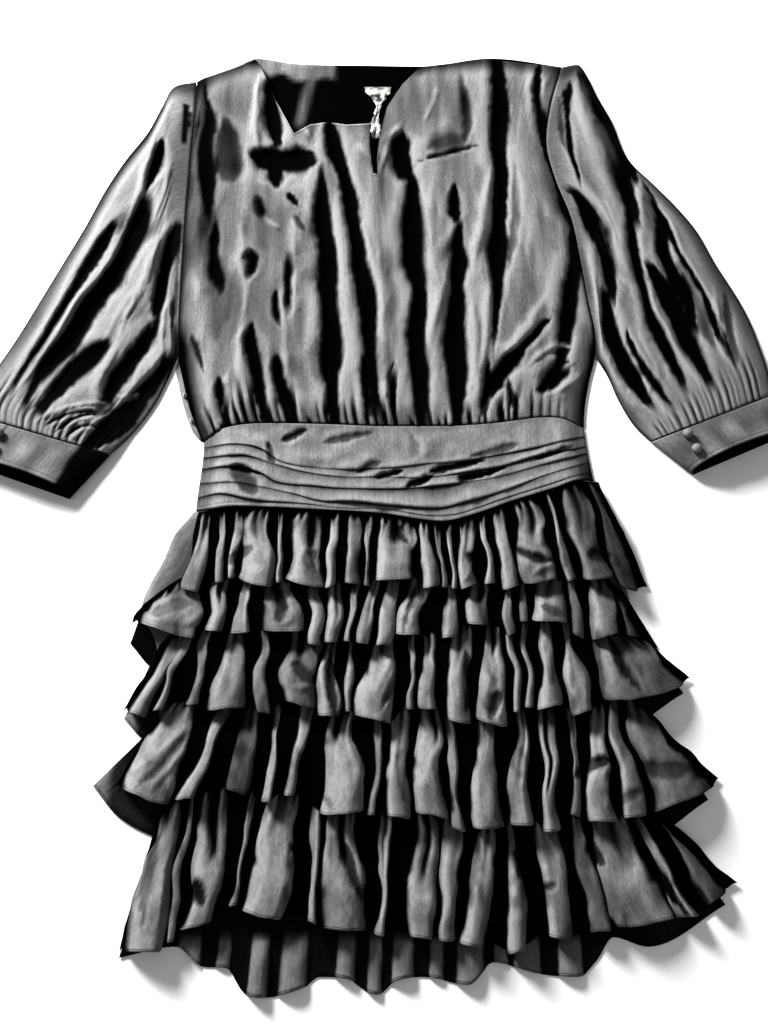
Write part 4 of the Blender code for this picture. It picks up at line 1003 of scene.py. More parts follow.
# Creases and ridges that cross the flutes
tierCreases = tableOf(
    "x1 y1 x2 y2 x3 y3 half rise",
    (-152, 236, -160, 214, -158, 185, 2.5, 2),
    (-112, 205, -124, 196, -140, 188, 5, -3),
    (-136, 182, -120, 180, -100, 184, 5, 1.5),
    (-68, 206, -66, 196, -62, 172, 3, 1.8),
    (-56, 200, -64, 190, -58, 175, 4, -3),
    (10, 226, 14, 214, 22, 206, 3, -3.5),
    (70, 200, 80, 190, 88, 178, 4, -4),
    (92, 204, 80, 190, 64, 168, 3, 2),
    (113, 222, 124, 212, 140, 206, 3.5, 2.2),
    (112, 206, 124, 196, 150, 190, 5, -4),
    (120, 178, 135, 186, 152, 190, 3, 2),
    (172, 200, 182, 196, 196, 198, 5, -3),
    (-196, 140, -180, 150, -158, 156, 5, -1.6),
    (-170, 134, -160, 142, -150, 154, 4, 1.5),
    (-92, 172, -85, 152, -90, 138, 4, -3.5),
    (-76, 150, -80, 142, -74, 134, 4, 1.5),
    (30, 170, 22, 148, 14, 124, 3, -3),
    (128, 150, 140, 148, 150, 142, 3.5, -2),
    (-76, 106, -66, 98, -56, 84, 6, -3),
    (-74, 88, -66, 84, -54, 88, 3, 1.5),
    (-44, 122, -43, 86, -38, 54, 3.5, -4),
    (5, 110, -2, 98, -16, 70, 3.5, 1.8),
    (12, 100, 4, 84, -4, 62, 3, -1.8),
    (66, 118, 66, 88, 62, 60, 3.5, -4),
    (90, 84, 88, 70, 86, 56, 4, -3.5),
    (184, 130, 194, 102, 210, 78, 5.5, -4),
    (176, 110, 182, 96, 186, 82, 4, 1.5),
    (-205, 14, -178, 36, -146, 62, 3, 1.6),
    (-196, 4, -172, 28, -148, 56, 3, -1.8),
    (-182, 0, -166, 26, -142, 56, 2.5, 1.4),
    (-38, 38, -28, 14, -20, -6, 3, 2),
    (-44, 4, -40, -2, -34, -8, 3, -1.8),
    (16, 40, 14, 20, 18, -8, 3, -1.6),
    (42, 26, 48, 10, 54, -14, 5, -4),
    (38, 50, 34, 24, 26, -4, 3.5, 1.6),
    (170, 54, 180, 26, 162, -12, 4, 2.6),
    (146, 14, 160, 26, 182, 30, 5, -4),
    (168, 0, 182, 2, 198, 10, 4, -2),
    (196, 30, 216, 22, 240, 26, 7, -2.6),
    (-166, -20, -176, -60, -176, -100, 3, -2.2),
    (-160, -28, -164, -64, -168, -98, 2.5, 1.6),
    (-138, -54, -136, -64, -132, -76, 5, -4.5),
    (-46, -34, -34, -56, -18, -86, 3, 2.2),
    (-30, -28, -24, -48, -14, -72, 5, -4),
    (-72, -30, -66, -36, -60, -46, 3, -3),
    (30, -62, 34, -70, 38, -84, 5, 1.6),
    (96, -34, 104, -44, 100, -56, 4, -4),
    (112, -58, 120, -60, 130, -58, 3, -3),
    (112, -48, 118, -50, 126, -46, 3, 1.6),
    (150, -28, 158, -38, 168, -46, 4, -4),
    (176, -44, 192, -62, 206, -78, 6, 1.4),
    (186, -24, 204, -52, 224, -84, 3, -5),
    (214, -44, 228, -58, 240, -72, 3, -3.5),
)
tierEnds = tableOf(
    "leftTop leftTopY leftHem leftHemY rightTop rightTopY rightHem rightHemY",
    (-162, 235, -172, 168, 189, 263, 222, 168),
    (-200, 154, -208, 138, 201, 164, 218, 128),
    (-184, 119, -208, 67, 212, 128, 247, 92),
    (-184, 52, -208, 10, 213, 64, 259, 15),
    (-171, -6, -190, -103, 216, -15, 262, -58),
)


def endsOf(index):
    return {name: column[index] for name, column in tierEnds.items()}


# Each tier's seam lies just over the highest hem of the flutes above it
def tierSeam(index):
    ends = endsOf(index)
    if index == 0:
        return lower(bandHem, 1.0)
    above = tierFlutes[index - 1]
    centre = 0.5 * (above["hemLeft"] + above["hemRight"])
    low = 0.5 * (above["lowLeft"] + above["lowRight"])
    x = np.linspace(ends["leftTop"], ends["rightTop"], 17)
    near = np.abs(centre[:, None] - x) < tier["seamReach"]
    y = np.where(near, low[:, None], -np.inf).max(axis=0) + tier["overlap"]
    y = np.interp(x, x[np.isfinite(y)], y[np.isfinite(y)])
    y[0] = ends["leftTopY"]
    y[-1] = ends["rightTopY"]
    return {"x": x, "y": y}


# One flute's section at a place from -1 to 1 across it: to the side and up
def fluteSection(t, lean):
    turn = tier["turn"]
    side = math.sin(t * turn) / math.sin(turn)
    up = (math.cos(t * turn) - math.cos(turn)) / (1 - math.cos(turn))
    return side + lean * up * (1 - abs(side)), up


# Columns of a tier's front from left to right. Each has its x at the seam and at the hem, hem height,
# rise, how far up its flute, painted light tone, fork, the fork's reach and two sideways bends.
def tierColumns(index, ends):
    random = np.random.default_rng(60 + index)
    leftEnd = ends["leftTop"], ends["leftHem"], ends["leftHemY"]
    rightEnd = ends["rightTop"], ends["rightHem"], ends["rightHemY"]
    columns = [(*leftEnd, 0.0, 0.0, 0.6, 0.0, 1.0, 0.0, 0.0)]

    def valley(topX, hemX, lowY, steps, bend):
        start = columns[-1]
        for step in range(1, steps):
            t = step / steps
            low = start[2] + (lowY - start[2]) * ease(t) + 0.8 * math.sin(math.pi * t)
            top = start[0] + (topX - start[0]) * t
            out = start[1] + (hemX - start[1]) * t
            bends = [start[8 + i] + (bend[i] - start[8 + i]) * t for i in range(2)]
            columns.append((top, out, low, 0.0, 0.0, 0.5, 0.0, 1.0, *bends))

    for flute in zip(*tierFlutes[index].values()):
        topLeft, topRight, hemLeft, hemRight, lowLeft, lowRight, height, tone, fork = flute
        width = hemRight - hemLeft
        lean = random.uniform(-0.5, 0.5)
        bow = random.uniform(-0.03, 0.05) * width
        forkPlace = random.uniform(-0.25, 0.25)
        forkReach = random.uniform(0.5, 0.85)
        highlightSide = random.choice((-0.62, -0.45, 0.5))
        steps = int(round((hemLeft - columns[-1][1]) / tier["cell"]))
        bending = tier["bendShare"][index] * tier["bend"] * min(1, 0.4 + width / 30)
        bends = random.uniform(-bending, bending, (2, 2))
        valley(topLeft, hemLeft, lowLeft + tier["valleyRaise"], min(max(steps, 2), 8), bends[0])
        count = max(9, int(round((width + 1.6 * height) / tier["cell"])))
        for t in np.linspace(-1, 1, count):
            side, up = fluteSection(t, lean)
            low = lowLeft + (lowRight - lowLeft) * 0.5 * (1 + side)
            low = low + tier["valleyRaise"] * (1 - up) ** 3 + bow * (side**2 - 0.4)
            topX = topLeft + (topRight - topLeft) * 0.5 * (1 + side)
            hemX = hemLeft + (hemRight - hemLeft) * 0.5 * (1 + side)
            notch = fork * math.exp(-(((side - forkPlace) / 0.3) ** 2))
            bend = bends[0] + (bends[1] - bends[0]) * 0.5 * (1 + side)
            # Painted highlight along one side of the flute
            bright = tone * (0.82 + 0.5 * math.exp(-(((side - highlightSide) / 0.24) ** 2)))
            hemX = hemX + tier["flare"] * side * min(width, 24)
            columns.append((topX, hemX, low, height * up, up, bright, notch, forkReach, *bend))
    valley(*rightEnd, 8, (0, 0))
    columns.append((*rightEnd, 0.0, 0.0, 0.3, 0.0, 1.0, 0.0, 0.0))
    return np.array(columns, float).T


def makeTierFront(index):
    ends = endsOf(index)
    seam = tierSeam(index)
    last = index == len(tierFlutes) - 1
    topX, hemX, lowY, rise, crown, tone, notch, forkReach, bow1, bow2 = tierColumns(index, ends)
    topX = np.maximum.accumulate(topX + 1e-4 * np.arange(len(topX)))
    hemX = np.maximum.accumulate(hemX + 1e-4 * np.arange(len(hemX)))
    lowY = lowY + 0.8 * softNoise(hemX / 9, 0 * hemX + index, 76)
    topY = curveAt(topX, seam["x"], seam["y"])
    depth = topY - lowY
    gathered = np.clip(tier["gatheredDepth"] / depth, 0.2, 0.55)
    hemLift = tier["lastHemLift"] if last else tier["hemLift"]
    baseLeft, baseRight = sidesAt(baseSides, lowY)
    beyond = ease((baseLeft - 3 - hemX) / 8) + ease((hemX - baseRight - 3) / 8)
    sideDrop = np.minimum(1, beyond) * (1 - crown)
    down = np.linspace(1, 0, tier["rows"])[:, None] + 0 * depth
    below = (down - gathered) / (1 - gathered)
    opened = 0.8 * ease(below / 0.7) + 0.2 * ease(below)
    share = tier["seamRise"] + (1 - tier["seamRise"]) * opened
    notched = notch * ease((forkReach - down) / 0.35)
    share = share * (1 - notched)
    raised = ease((down - 0.6 * gathered) / (0.5 * (1 - gathered)))
    lift = tier["seamLift"] + (hemLift - tier["seamLift"]) * raised
    lift = lift + (layer + frontEdge - lift) * sideDrop * ease(below)
    x = topX + (hemX - topX) * down
    y = topY - depth * down
    middle = np.sin(np.pi * np.clip(down, 0, 1)) + 0.2 * down
    x = x + tier["sway"] * middle * softNoise(x / 21, y / 24 + 5 * index, 71)
    x = x + 0.8 * middle * softNoise(x / 8, y / 10 + 5 * index, 77)
    x = x + bow1 * np.sin(np.pi * down) + bow2 * np.sin(2 * np.pi * down)
    x = np.maximum.accumulate(x, axis=1)
    z = lift + rise * share
    # Small gathers at the seam, running out down the flutes at uneven lengths
    here = 0 * topX + index
    pitch = topX / tier["gatherPitch"] + 0.5 * softNoise(topX / 14, here, 72)
    reach = 0.5 + 0.3 * softNoise(topX / 6, 2 * here, 78)
    uneven = 0.8 + 0.6 * softNoise(topX / 9, here, 73)
    small = np.cos(2 * np.pi * pitch) * tier["gatherRise"] * uneven
    small = small * ease(1 - (down - 0.02) / reach)
    creased, paintedShade = creaseHeights(x, y, tierCreases)
    crush = softNoise(x / 7.5, y / 22 + index, 74)
    crush = crush + 0.7 * softNoise((x + 0.7 * y) / 11, (y - x) / 15, 75)
    crush = crush + 0.8 * softNoise((x - 0.5 * y) / 9, (y + x) / 19, 79)
    z = z + small + creased * (0.2 + 0.8 * crown)
    z = z + tier["crush"] * crush * ease(down / 0.2) * (0.25 + 0.75 * crown)
    z = np.maximum(z, tier["seamLift"] - 0.2 - 3.4 * sideDrop)
    # Shadow reaches unevenly up the sides of a flute
    creep = 0.8 * softNoise(x / 9, y / 24 + index, 84) + 0.2 * softNoise(x / 4, y / 7, 85)
    creep = 0.5 * ease(0.5 + creep)
    # Painted light on the crowns of the flutes and on the small gathers; painted shade between the
    # gathers near the seam, in the forks and in the creases, and a little painted light on raised crush
    ridge = ease((crown - 0.02 - creep) / 0.28) * ease((share - 0.12) / 0.25)
    gather = ease(0.5 + 0.75 * small / tier["gatherRise"])
    paintedShading = 0.92 * tone * ridge * (1 - 0.85 * (1 - gather) * ease(1 - down / 0.4))
    paintedShading = paintedShading * (1 - tier["creaseShade"] * ease((notched - 0.15) / 0.35))
    paintedShading = paintedShading * (1 - tier["creaseShade"] * paintedShade)
    paintedShading = paintedShading * (1 + 0.2 * crush + 0.12 * creased)
    # Crumpled places that lie away from the light
    patch = softNoise(x / 8, y / 32 + 3 * index, 82) + 0.5 * softNoise(x / 4, y / 9, 83)
    paintedShading = paintedShading * (1 - tier["patchShade"] * ease((patch - 0.45) / 0.6))
    # The hem above shades the seam; ridges come out of its shadow first
    shade = (2.5 if index else 0.5) + 6.0 * (1 - crown * gather)
    paintedShading = np.clip(paintedShading * ease((down * depth - shade) / 5.0), 0, 1)
    return clothPanel(
        f"tier{index + 1}Front",
        f"tier_{index + 1}_front",
        (x, y, z),
        paintedShading,
        (1 - down) * depth,
        hemThickness=tier["hemThickness"],
        hemScale=tier["hemScale"],
    )


tierFronts = [makeTierFront(index) for index in range(len(tierFlutes))]
print("tier fronts made")

# Backs of the tiers, flat below; the last one shows its flutes under the front hem
backHems = [
    tableOf("x y", (-168, 158), (0, 158), (206, 152)),
    tableOf("x y", (-208, 120), (-186, 101), (0, 103), (170, 103), (224, 117)),
    tableOf("x y", (-206, 60), (-187, 45), (0, 45), (170, 45), (240, 80)),
    tableOf("x y", (-224, 10), (-202, -12), (-150, -30), (0, -34), (190, -30), (248, 0)),
    tableOf(
        "x y",
        (-190, -106), (-150, -99), (-132, -111), (-112, -113), (-100, -127), (-88, -131),
        (-56, -124), (-46, -118), (-28, -119), (-5, -129), (8, -121), (28, -118), (60, -123),
        (78, -109), (110, -116), (138, -118), (152, -108), (166, -93), (190, -99), (250, -72),
    ),
]
# Seam height of each back below the first, how much painted light each one gets (most lie in painted
# shade under the fronts), and where painted light falls on the left tips of two of them
backSeamY = {1: 180.0, 2: 128.0, 3: 74.0, 4: 4.0}
backLightTone = (1.1, 0.02, 0.08, 0.1, 0.5)
backTip = {2: -193.0, 3: -209.0}
backFlutes = tableOf(
    "x half rise",
    (-140, 9, 4), (-115, 5, 3), (-89, 7, 8), (-64, 10, 7), (-27, 7, 7), (-6, 5, 4), (14, 8, 7),
    (38, 5, 4), (62, 10, 7), (84, 5, 3), (103, 10, 5), (134, 9, 6),
)
backShape = {
    "columns": (150, 150, 150, 150, 300),
    "rows": (20, 20, 20, 20, 44),
    "startY": -84.0,
    "fullY": -112.0,
    "clearance": 4.0,
    "step": 10.0,
    "wave": 0.9,
}


def makeTierBack(index):
    ends = endsOf(index)
    hem = backHems[index]
    share = np.linspace(0, 1, backShape["columns"][index])
    down = np.linspace(1, 0, backShape["rows"][index])[:, None]
    hemX = hem["x"][0] + share * (hem["x"][-1] - hem["x"][0])
    hemY = curveAt(hemX, hem["x"], hem["y"])
    if index == 0:
        topX = bandHem["x"][0] + share * (bandHem["x"][-1] - bandHem["x"][0])
        topY = curveAt(topX, bandHem["x"], bandHem["y"]) - 0.4
        y = topY + (hemY - topY) * down
        lift = 0 * y
    else:
        topX = ends["leftTop"] + share * (ends["rightTop"] - ends["leftTop"])
        sides = np.minimum(share, 1 - share) * len(share)
        edgeY = np.where(share < 0.5, ends["leftTopY"], ends["rightTopY"])
        topY = edgeY + (backSeamY[index] - edgeY) * ease(sides / 5)
        over = np.minimum(backHems[index - 1]["y"].min() - backShape["clearance"], topY - layer)
        y = topY + (hemY - topY) * down
        lift = layer * ease((y - over + backShape["step"]) / backShape["step"])
    x = topX + (hemX - topX) * (topY - y) / (topY - hemY)
    waves = 0.5 + 0.5 * softNoise(x / 13, y / 60 + index, 81)
    outer = ease((np.abs(x) - 140) / 40) * ease((down - 0.3) / 0.4)
    z = lift + 0.15 + backShape["wave"] * waves * outer
    # Painted light on the outer waves and on the left tips
    paintedShading = backLightTone[index] * (0.3 + 0.5 * ease((waves - 0.35) / 0.35) * outer)
    if index in backTip:
        paintedShading = paintedShading + (0.4 + 0.3 * waves) * ease((backTip[index] - x) / 7)
    if index == len(backHems) - 1:
        opened = ease((backShape["startY"] - y) / (backShape["startY"] - backShape["fullY"]))
        away = np.abs(x[..., None] - backFlutes["x"] - 0.04 * (y[..., None] + 100)) / backFlutes["half"]
        bump = np.clip(1 - away**2.4, 0, 1) ** 0.8
        z = z + opened * (backFlutes["rise"] * bump).sum(axis=-1)
        # Painted light on the crowns of the flutes that show under the front hem, painted shade between
        # them
        ridge = ease(opened * 1.3) * ease((bump.max(axis=-1) - 0.15) / 0.6)
        paintedShading = np.clip(paintedShading * 0.2 + ridge, 0.0, 0.6)
    name, nodeName = f"tier{index + 1}Back", f"tier_{index + 1}_back"
    edge = (1 - down) * (topY - hemY)
    return clothPanel(name, nodeName, (x, y, z), paintedShading, edge, onTop=True, hemScale=tier["hemScale"])


tierBacks = [makeTierBack(index) for index in range(len(backHems))]
print("tier backs made")

# Sleeves and cuffs: a flat tube, over the top from the outer edge to the inner one and back below
sleeve = {
    "topColumns": 112,
    "bottomColumns": 40,
    "rows": 118,
    "loft": 8.0,
    "cuffLoft": 17.0,
    "cuffShare": 0.28,
    "headShare": 0.35,
    "edgeLift": 2.2,
    "underLift": 0.5,
    "armholeGap": 0.9,
    "gathers": 21,
    "gatherRise": 1.2,
    "gatherShare": 0.15,
    "gatherShade": 0.85,
    "headGathers": 16,
    "headGatherRise": 0.7,
    "headReach": 0.1,
    "armholeReach": 0.12,
    "wrinkleRise": 0.7,
    "foldDeep": 4.5,
    "creaseShade": 0.985,
    "underTone": 0.3,
    "hemThickness": 0.55,
}
cuff = {
    "rows": 26,
    "gap": 1.2,
    "flare": 3.0,
    "setback": 0.22,
    "depth": 38.0,
    "thickness": 0.9,
    "overlapAt": {"left": 0.23, "right": 0.74},
    "overlapRise": 1.3,
    "wave": 0.35,
    "underTone": 0.25,
    "shadowAt": 0.71,
    "shadowDark": 0.97,
}
sleeveOuter = {
    "left": tableOf(
        "x y",
        (-207, 742), (-230, 735), (-241, 705), (-252, 670), (-272, 630), (-288, 590), (-302, 545),
        (-318, 500), (-334, 455), (-350, 411), (-366, 372), (-374, 345), (-372, 330),
    ),
    "right": tableOf(
        "x y",
        (199, 764), (216, 768), (226, 748), (233, 722), (245, 685), (257, 632), (280, 598),
        (300, 568), (315, 540), (328, 500), (345, 455), (352, 430), (357, 400), (360, 372),
        (360, 352),
    ),
}
sleeveInner = {
    "left": tableOf("x y", (-195, 392), (-202, 368), (-212, 340), (-228, 312), (-246, 291)),
    "right": tableOf("x y", (200, 392), (209, 372), (217, 345), (228, 320), (241, 304)),
}
cuffCorners = {
    "left": tableOf("x y", (-390, 288), (-277, 248)),
    "right": tableOf("x y", (374, 314), (275, 271)),
}
sleeveFolds = {
    "left": tableOf(
        "x1 y1 x2 y2 x3 y3 half rise",
        (-236, 668, -239, 625, -247, 583, 5.5, -6),
        (-241, 598, -260, 508, -294, 432, 16, -7),
        (-262, 500, -298, 418, -338, 320, 13, -7),
        (-266, 566, -305, 465, -354, 330, 7.5, -6),
        (-258, 412, -290, 378, -326, 322, 10, -6.5),
        (-204, 562, -216, 490, -221, 424, 9, -6.5),
        (-212, 446, -236, 392, -264, 330, 10, -6.5),
        (-197, 408, -234, 338, -280, 290, 17, -6.5),
        (-217, 716, -214, 685, -211, 648, 4.5, -5),
        (-204, 514, -205, 470, -202, 412, 2, -3),
        (-245, 698, -257, 562, -300, 452, 4.2, 3),
        (-288, 478, -318, 415, -351, 324, 4, 3),
        (-288, 402, -312, 368, -335, 326, 3, 2.8),
        (-225, 700, -232, 540, -268, 350, 9, 2.2),
        (-216, 560, -238, 480, -264, 385, 3, 1.6),
        (-203, 520, -213, 450, -207, 392, 3, 2.8),
        (-206, 406, -228, 364, -264, 322, 3.5, 2.8),
        (-324, 322, -292, 339, -248, 341, 2.6, 2.6),
        (-308, 315, -288, 331, -264, 337, 2.2, 2.4),
        (-298, 308, -282, 324, -258, 322, 2.2, 2.4),
        (-290, 302, -270, 318, -246, 337, 2.6, 2.6),
        (-314, 318, -290, 331, -260, 331, 2.4, -4),
        (-303, 311, -284, 326, -260, 329, 2.2, -4),
        (-294, 304, -276, 318, -256, 314, 2.2, -4),
        (-222, 442, -224, 420, -230, 398, 4, 1.8),
        (-247, 352, -236, 348, -224, 356, 4, 1.8),
    ),
    "right": tableOf(
        "x1 y1 x2 y2 x3 y3 half rise",
        (212, 780, 240, 650, 256, 525, 10, -7),
        (248, 590, 256, 460, 282, 340, 8, -7),
        (228, 748, 246, 670, 266, 585, 8, -6.5),
        (262, 510, 281, 445, 306, 342, 9, -6.5),
        (266, 615, 281, 520, 304, 396, 7, -6.5),
        (270, 588, 304, 490, 332, 372, 3.5, -5),
        (320, 446, 326, 415, 332, 374, 3.5, -5),
        (208, 748, 199, 690, 204, 580, 4.5, -5.5),
        (182, 600, 217, 540, 218, 430, 11, -7),
        (215, 482, 222, 400, 252, 328, 9.5, -7),
        (235, 430, 242, 385, 266, 332, 3.5, -5),
        (194, 722, 188, 690, 195, 636, 3, -3),
        (334, 474, 334, 420, 332, 380, 5, -2.4),
        (294, 510, 304, 450, 318, 396, 7, -2.6),
        (212, 768, 230, 600, 240, 420, 12, 2.0),
        (257, 500, 266, 440, 300, 342, 2.8, 3),
        (263, 616, 270, 560, 272, 495, 4, 2.4),
        (186, 566, 202, 500, 208, 390, 4.5, 3),
        (205, 402, 214, 370, 224, 346, 4, 2),
        (326, 484, 325, 420, 331, 368, 2.8, 2.6),
        (238, 378, 250, 350, 264, 318, 3, 2.4),
        (198, 766, 186, 715, 178, 646, 3, 2.4),
        (340, 484, 346, 420, 351, 366, 6, 1.6),
    ),
}


# Height of a round back over a share across it
def dome(shares):
    return np.sqrt(np.clip(1 - (2 * shares - 1) ** 2, 0, 1))


# Shares across a flat tube, over its top and back below, and which of them are on top
def ringShares():
    step = np.linspace(0, 1, sleeve["topColumns"])
    top = 0.5 - 0.5 * np.cos(np.pi * step)
    top = 0.35 * top + 0.65 * step
    low = np.linspace(1, 0, sleeve["bottomColumns"] + 2)[1:-1]
    shares = np.concatenate([top, low])
    isTop = np.arange(len(shares)) < len(top)
    return shares, isTop


def sleevePlan(side, cap, shares):
    outer = along(sleeveOuter[side], cap)
    inner = along(sleeveInner[side], cap)
    line = outer + (inner - outer) * shares[:, None]
    y = shoulderY[side] + (underarmY - shoulderY[side]) * shares
    outward = -1 if side == "left" else 1
    armholeX = curveAt(y, bodiceSides["y"], bodiceSides[side]) + sleeve["armholeGap"] * outward
    armhole = np.stack([armholeX, y], axis=-1)
    start = np.stack([along(sleeveOuter[side], 0), along(sleeveInner[side], 0)])
    straight = start[0] + (start[1] - start[0]) * shares[:, None]
    return line + (armhole - straight) * (1 - ease(cap / sleeve["headShare"]))


# The right tube runs the other way round, so that its faces point out; rows go up from the hem
def ringPanel(kind, side, grid, paintedShading, edge=None, **walls):
    layers = [grid, paintedShading] if edge is None else [grid, paintedShading, edge]
    if side == "right":
        layers = [values[:, ::-1] for values in layers]
    grid, *rest = [values[::-1] for values in layers]
    name = kind + side.capitalize()
    return clothPanel(name, f"{kind}_{side}", np.moveaxis(grid, -1, 0), *rest, ring=True, **walls)


def makeSleeve(side):
    shares, isTop = ringShares()
    level = 0 * shares
    grid = []
    paintedShade = []
    for cap in np.linspace(0, 1, sleeve["rows"]):
        plan = sleevePlan(side, cap, shares)
        width = np.hypot(*(plan[0] - plan[sleeve["topColumns"] - 1]))
        fromEdge = width * np.minimum(shares, 1 - shares)
        inward = ease(fromEdge / bodice["sideSlope"])
        openEdge = armholeLift(plan[:, 1], shoulderY[side])
        openEdge = sleeve["edgeLift"] + (openEdge - sleeve["edgeLift"]) * ease(fromEdge / 5)
        body = sleeve["edgeLift"] + ease(fromEdge / 3) + (sleeve["loft"] - 1) * inward
        creased, shade = creaseHeights(plan[:, 0], plan[:, 1], sleeveFolds[side])
        drift = 5 * shares + 0.6 * softNoise(cap * 6 + level, shares * 4, 91)
        wrinkles = softNoise(drift * 3.4, cap * 4 + level, 92)
        wrinkles = wrinkles + 0.7 * softNoise(drift * 6.5, cap * 7 + level, 93)
        body = body + (creased + sleeve["wrinkleRise"] * wrinkles) * inward
        body = np.maximum(body, frontEdge + 0.5 * wall * ease(fromEdge / 4))
        z = body + (openEdge - body) * (1 - ease(cap / sleeve["armholeReach"]))
        cuffed = sleeve["edgeLift"] + sleeve["cuffLoft"] * dome(shares) + 0.5 * creased * inward
        z = z + (cuffed - z) * ease((cap - 1 + sleeve["cuffShare"]) / sleeve["cuffShare"])
        # Gathers into the cuff, flatter at its very seam, and smaller ones at the sleeve's head
        spaced = sleeve["gathers"] * (shares + 0.03 * softNoise(shares * 9, level + 2, 94))
        uneven = 0.65 + 0.55 * softNoise(shares * 17, level + 4, 97)
        gathers = np.cos(2 * np.pi * spaced) * sleeve["gatherRise"] * inward * uneven
        nearCuff = cap - 1 + sleeve["gatherShare"]
        flatter = 1 - 0.45 * ease((cap - 0.95) / 0.05)
        z = z + gathers * ease(nearCuff / (0.7 * sleeve["gatherShare"])) * flatter
        head = np.cos(2 * np.pi * sleeve["headGathers"] * shares) * sleeve["headGatherRise"]
        z = z + head * inward * (1 - ease(cap / sleeve["headReach"])) * ease(0.35 - shares)
        z = np.where(isTop, z, sleeve["underLift"])
        grid.append(np.concatenate([plan, z[:, None]], axis=-1))
        # Painted shade between the gathers near the cuff and in the creases
        gatherShade = ease(-gathers / sleeve["gatherRise"] * 1.6 - 0.1) * ease(nearCuff / 0.1)
        paintedShade.append(np.maximum(shade, sleeve["gatherShade"] * gatherShade))
    grid = np.array(grid)
    # The underside gets a flat, darker painted shade; the top gets painted shading from its folds
    paintedShading = np.full(grid.shape[:2], sleeve["underTone"])
    paintedShading[:, isTop] = foldShading(grid[:, isTop, 2], 8, 6, sleeve["foldDeep"])
    paintedShading = paintedShading * (1 - sleeve["creaseShade"] * np.array(paintedShade))
    return ringPanel("sleeve", side, grid, paintedShading, hemThickness=sleeve["hemThickness"])


def cuffPoint(side, share, down):
    outer = along(sleeveOuter[side], 1)
    inner = along(sleeveInner[side], 1)
    corners = np.stack([cuffCorners[side]["x"], cuffCorners[side]["y"]], axis=-1)
    top = outer + (inner - outer) * share[:, None]
    low = corners[0] + (corners[1] - corners[0]) * share[:, None]
    away = (low - top) / np.hypot(*(low - top).T)[:, None]
    start = top + cuff["gap"] * away
    return start + (low - start) * down[:, None]


def cuffLift(share, down):
    return sleeve["edgeLift"] + (sleeve["cuffLoft"] + cuff["flare"] * down) * dome(share)


def makeCuff(side):
    shares, isTop = ringShares()
    grid = []
    for down in np.linspace(0, 1, cuff["rows"]):
        setback = np.where(isTop, cuff["setback"] * dome(shares), 0)
        plan = cuffPoint(side, shares, down * (1 - setback))
        # The upper end of the band laps over the lower one beside the buttons
        step = (shares - cuff["overlapAt"][side]) * (1 if side == "left" else -1)
        lap = cuff["overlapRise"] * ease(0.5 - step / 0.012) * ease((step + 0.2) / 0.2)
        uneven = cuff["wave"] * softNoise(shares * 14, down * 3 + 0 * shares, 95)
        z = cuffLift(shares, down) + (lap + uneven) * dome(shares)
        z = np.where(isTop, z, sleeve["underLift"])
        grid.append(np.concatenate([plan, z[:, None]], axis=-1))
    down = np.linspace(0, 1, cuff["rows"])[:, None] + 0 * shares
    paintedShading = 0.62 + 0.25 * softNoise(shares * 9, down * 2, 96)
    # The underside gets a flat, darker painted shade
    paintedShading = np.where(isTop, paintedShading, cuff["underTone"])
    if side == "left":
        # The inner end lies in the sleeve's shadow
        away = shares - cuff["shadowAt"] + 0.05 * softNoise(down * 2.5, shares * 3, 98) - 0.08 * down
        paintedShading = paintedShading * (1 - cuff["shadowDark"] * ease(away / 0.05))
    edge = (1 - down) * cuff["depth"]
    return ringPanel("cuff", side, np.array(grid), paintedShading, edge, thickness=cuff["thickness"])


sleeves = {side: makeSleeve(side) for side in ("left", "right")}
cuffs = {side: makeCuff(side) for side in ("left", "right")}
print("sleeves and cuffs made")

# Covered buttons: a ball of crepe drawn in at its neck
button = {"pleats": 9, "pleatDepth": 0.05, "rings": 18, "around": 36, "tone": 0.35}


def meshOf(name, cage):
    mesh = bpy.data.meshes.new(name)
    cage.to_mesh(mesh)
    cage.free()
    return mesh


def makeButton(name, nodeName):
    low, high = [np.array(corner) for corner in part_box(nodeName)]
    centre = 0.5 * (low + high)
    radius = 0.5 * (high[0] - low[0])
    flat = 0.5 * (high[2] - low[2])
    cage = bmesh.new()
    rings, around = button["rings"], button["around"]
    bmesh.ops.create_uvsphere(cage, u_segments=around, v_segments=rings, radius=1.0)
    for vert in cage.verts:
        turn = math.atan2(vert.co.y, vert.co.x)
        drawn = float(ease(-vert.co.z))
        pleat = 1 - button["pleatDepth"] * drawn * (0.5 + 0.5 * math.cos(button["pleats"] * turn))
        vert.co.x *= radius * pleat
        vert.co.y *= radius * pleat
        vert.co.z *= flat
    mesh = meshOf(name, cage)
    points = np.array([vert.co[:] for vert in mesh.vertices])
    edgePlace = np.tile([cloth["farFromHem"], 0.0, 0.0], (len(points), 1))
    # Painted light on the upper half of the button, painted shade towards its bottom
    paintedShading = button["tone"] + 0.5 * ease(0.5 + points[:, 2] / flat)
    addClothLayers(mesh, points, edgePlace, paintedShading)
    mesh.materials.append(blackCrepe)
    addPiece(name, mesh, nodeName).location = Vector(centre)


for side in ("left", "right"):
    for number in (1, 2):
        makeButton(f"button{side.capitalize()}{number}", f"button_{side}_{number}")

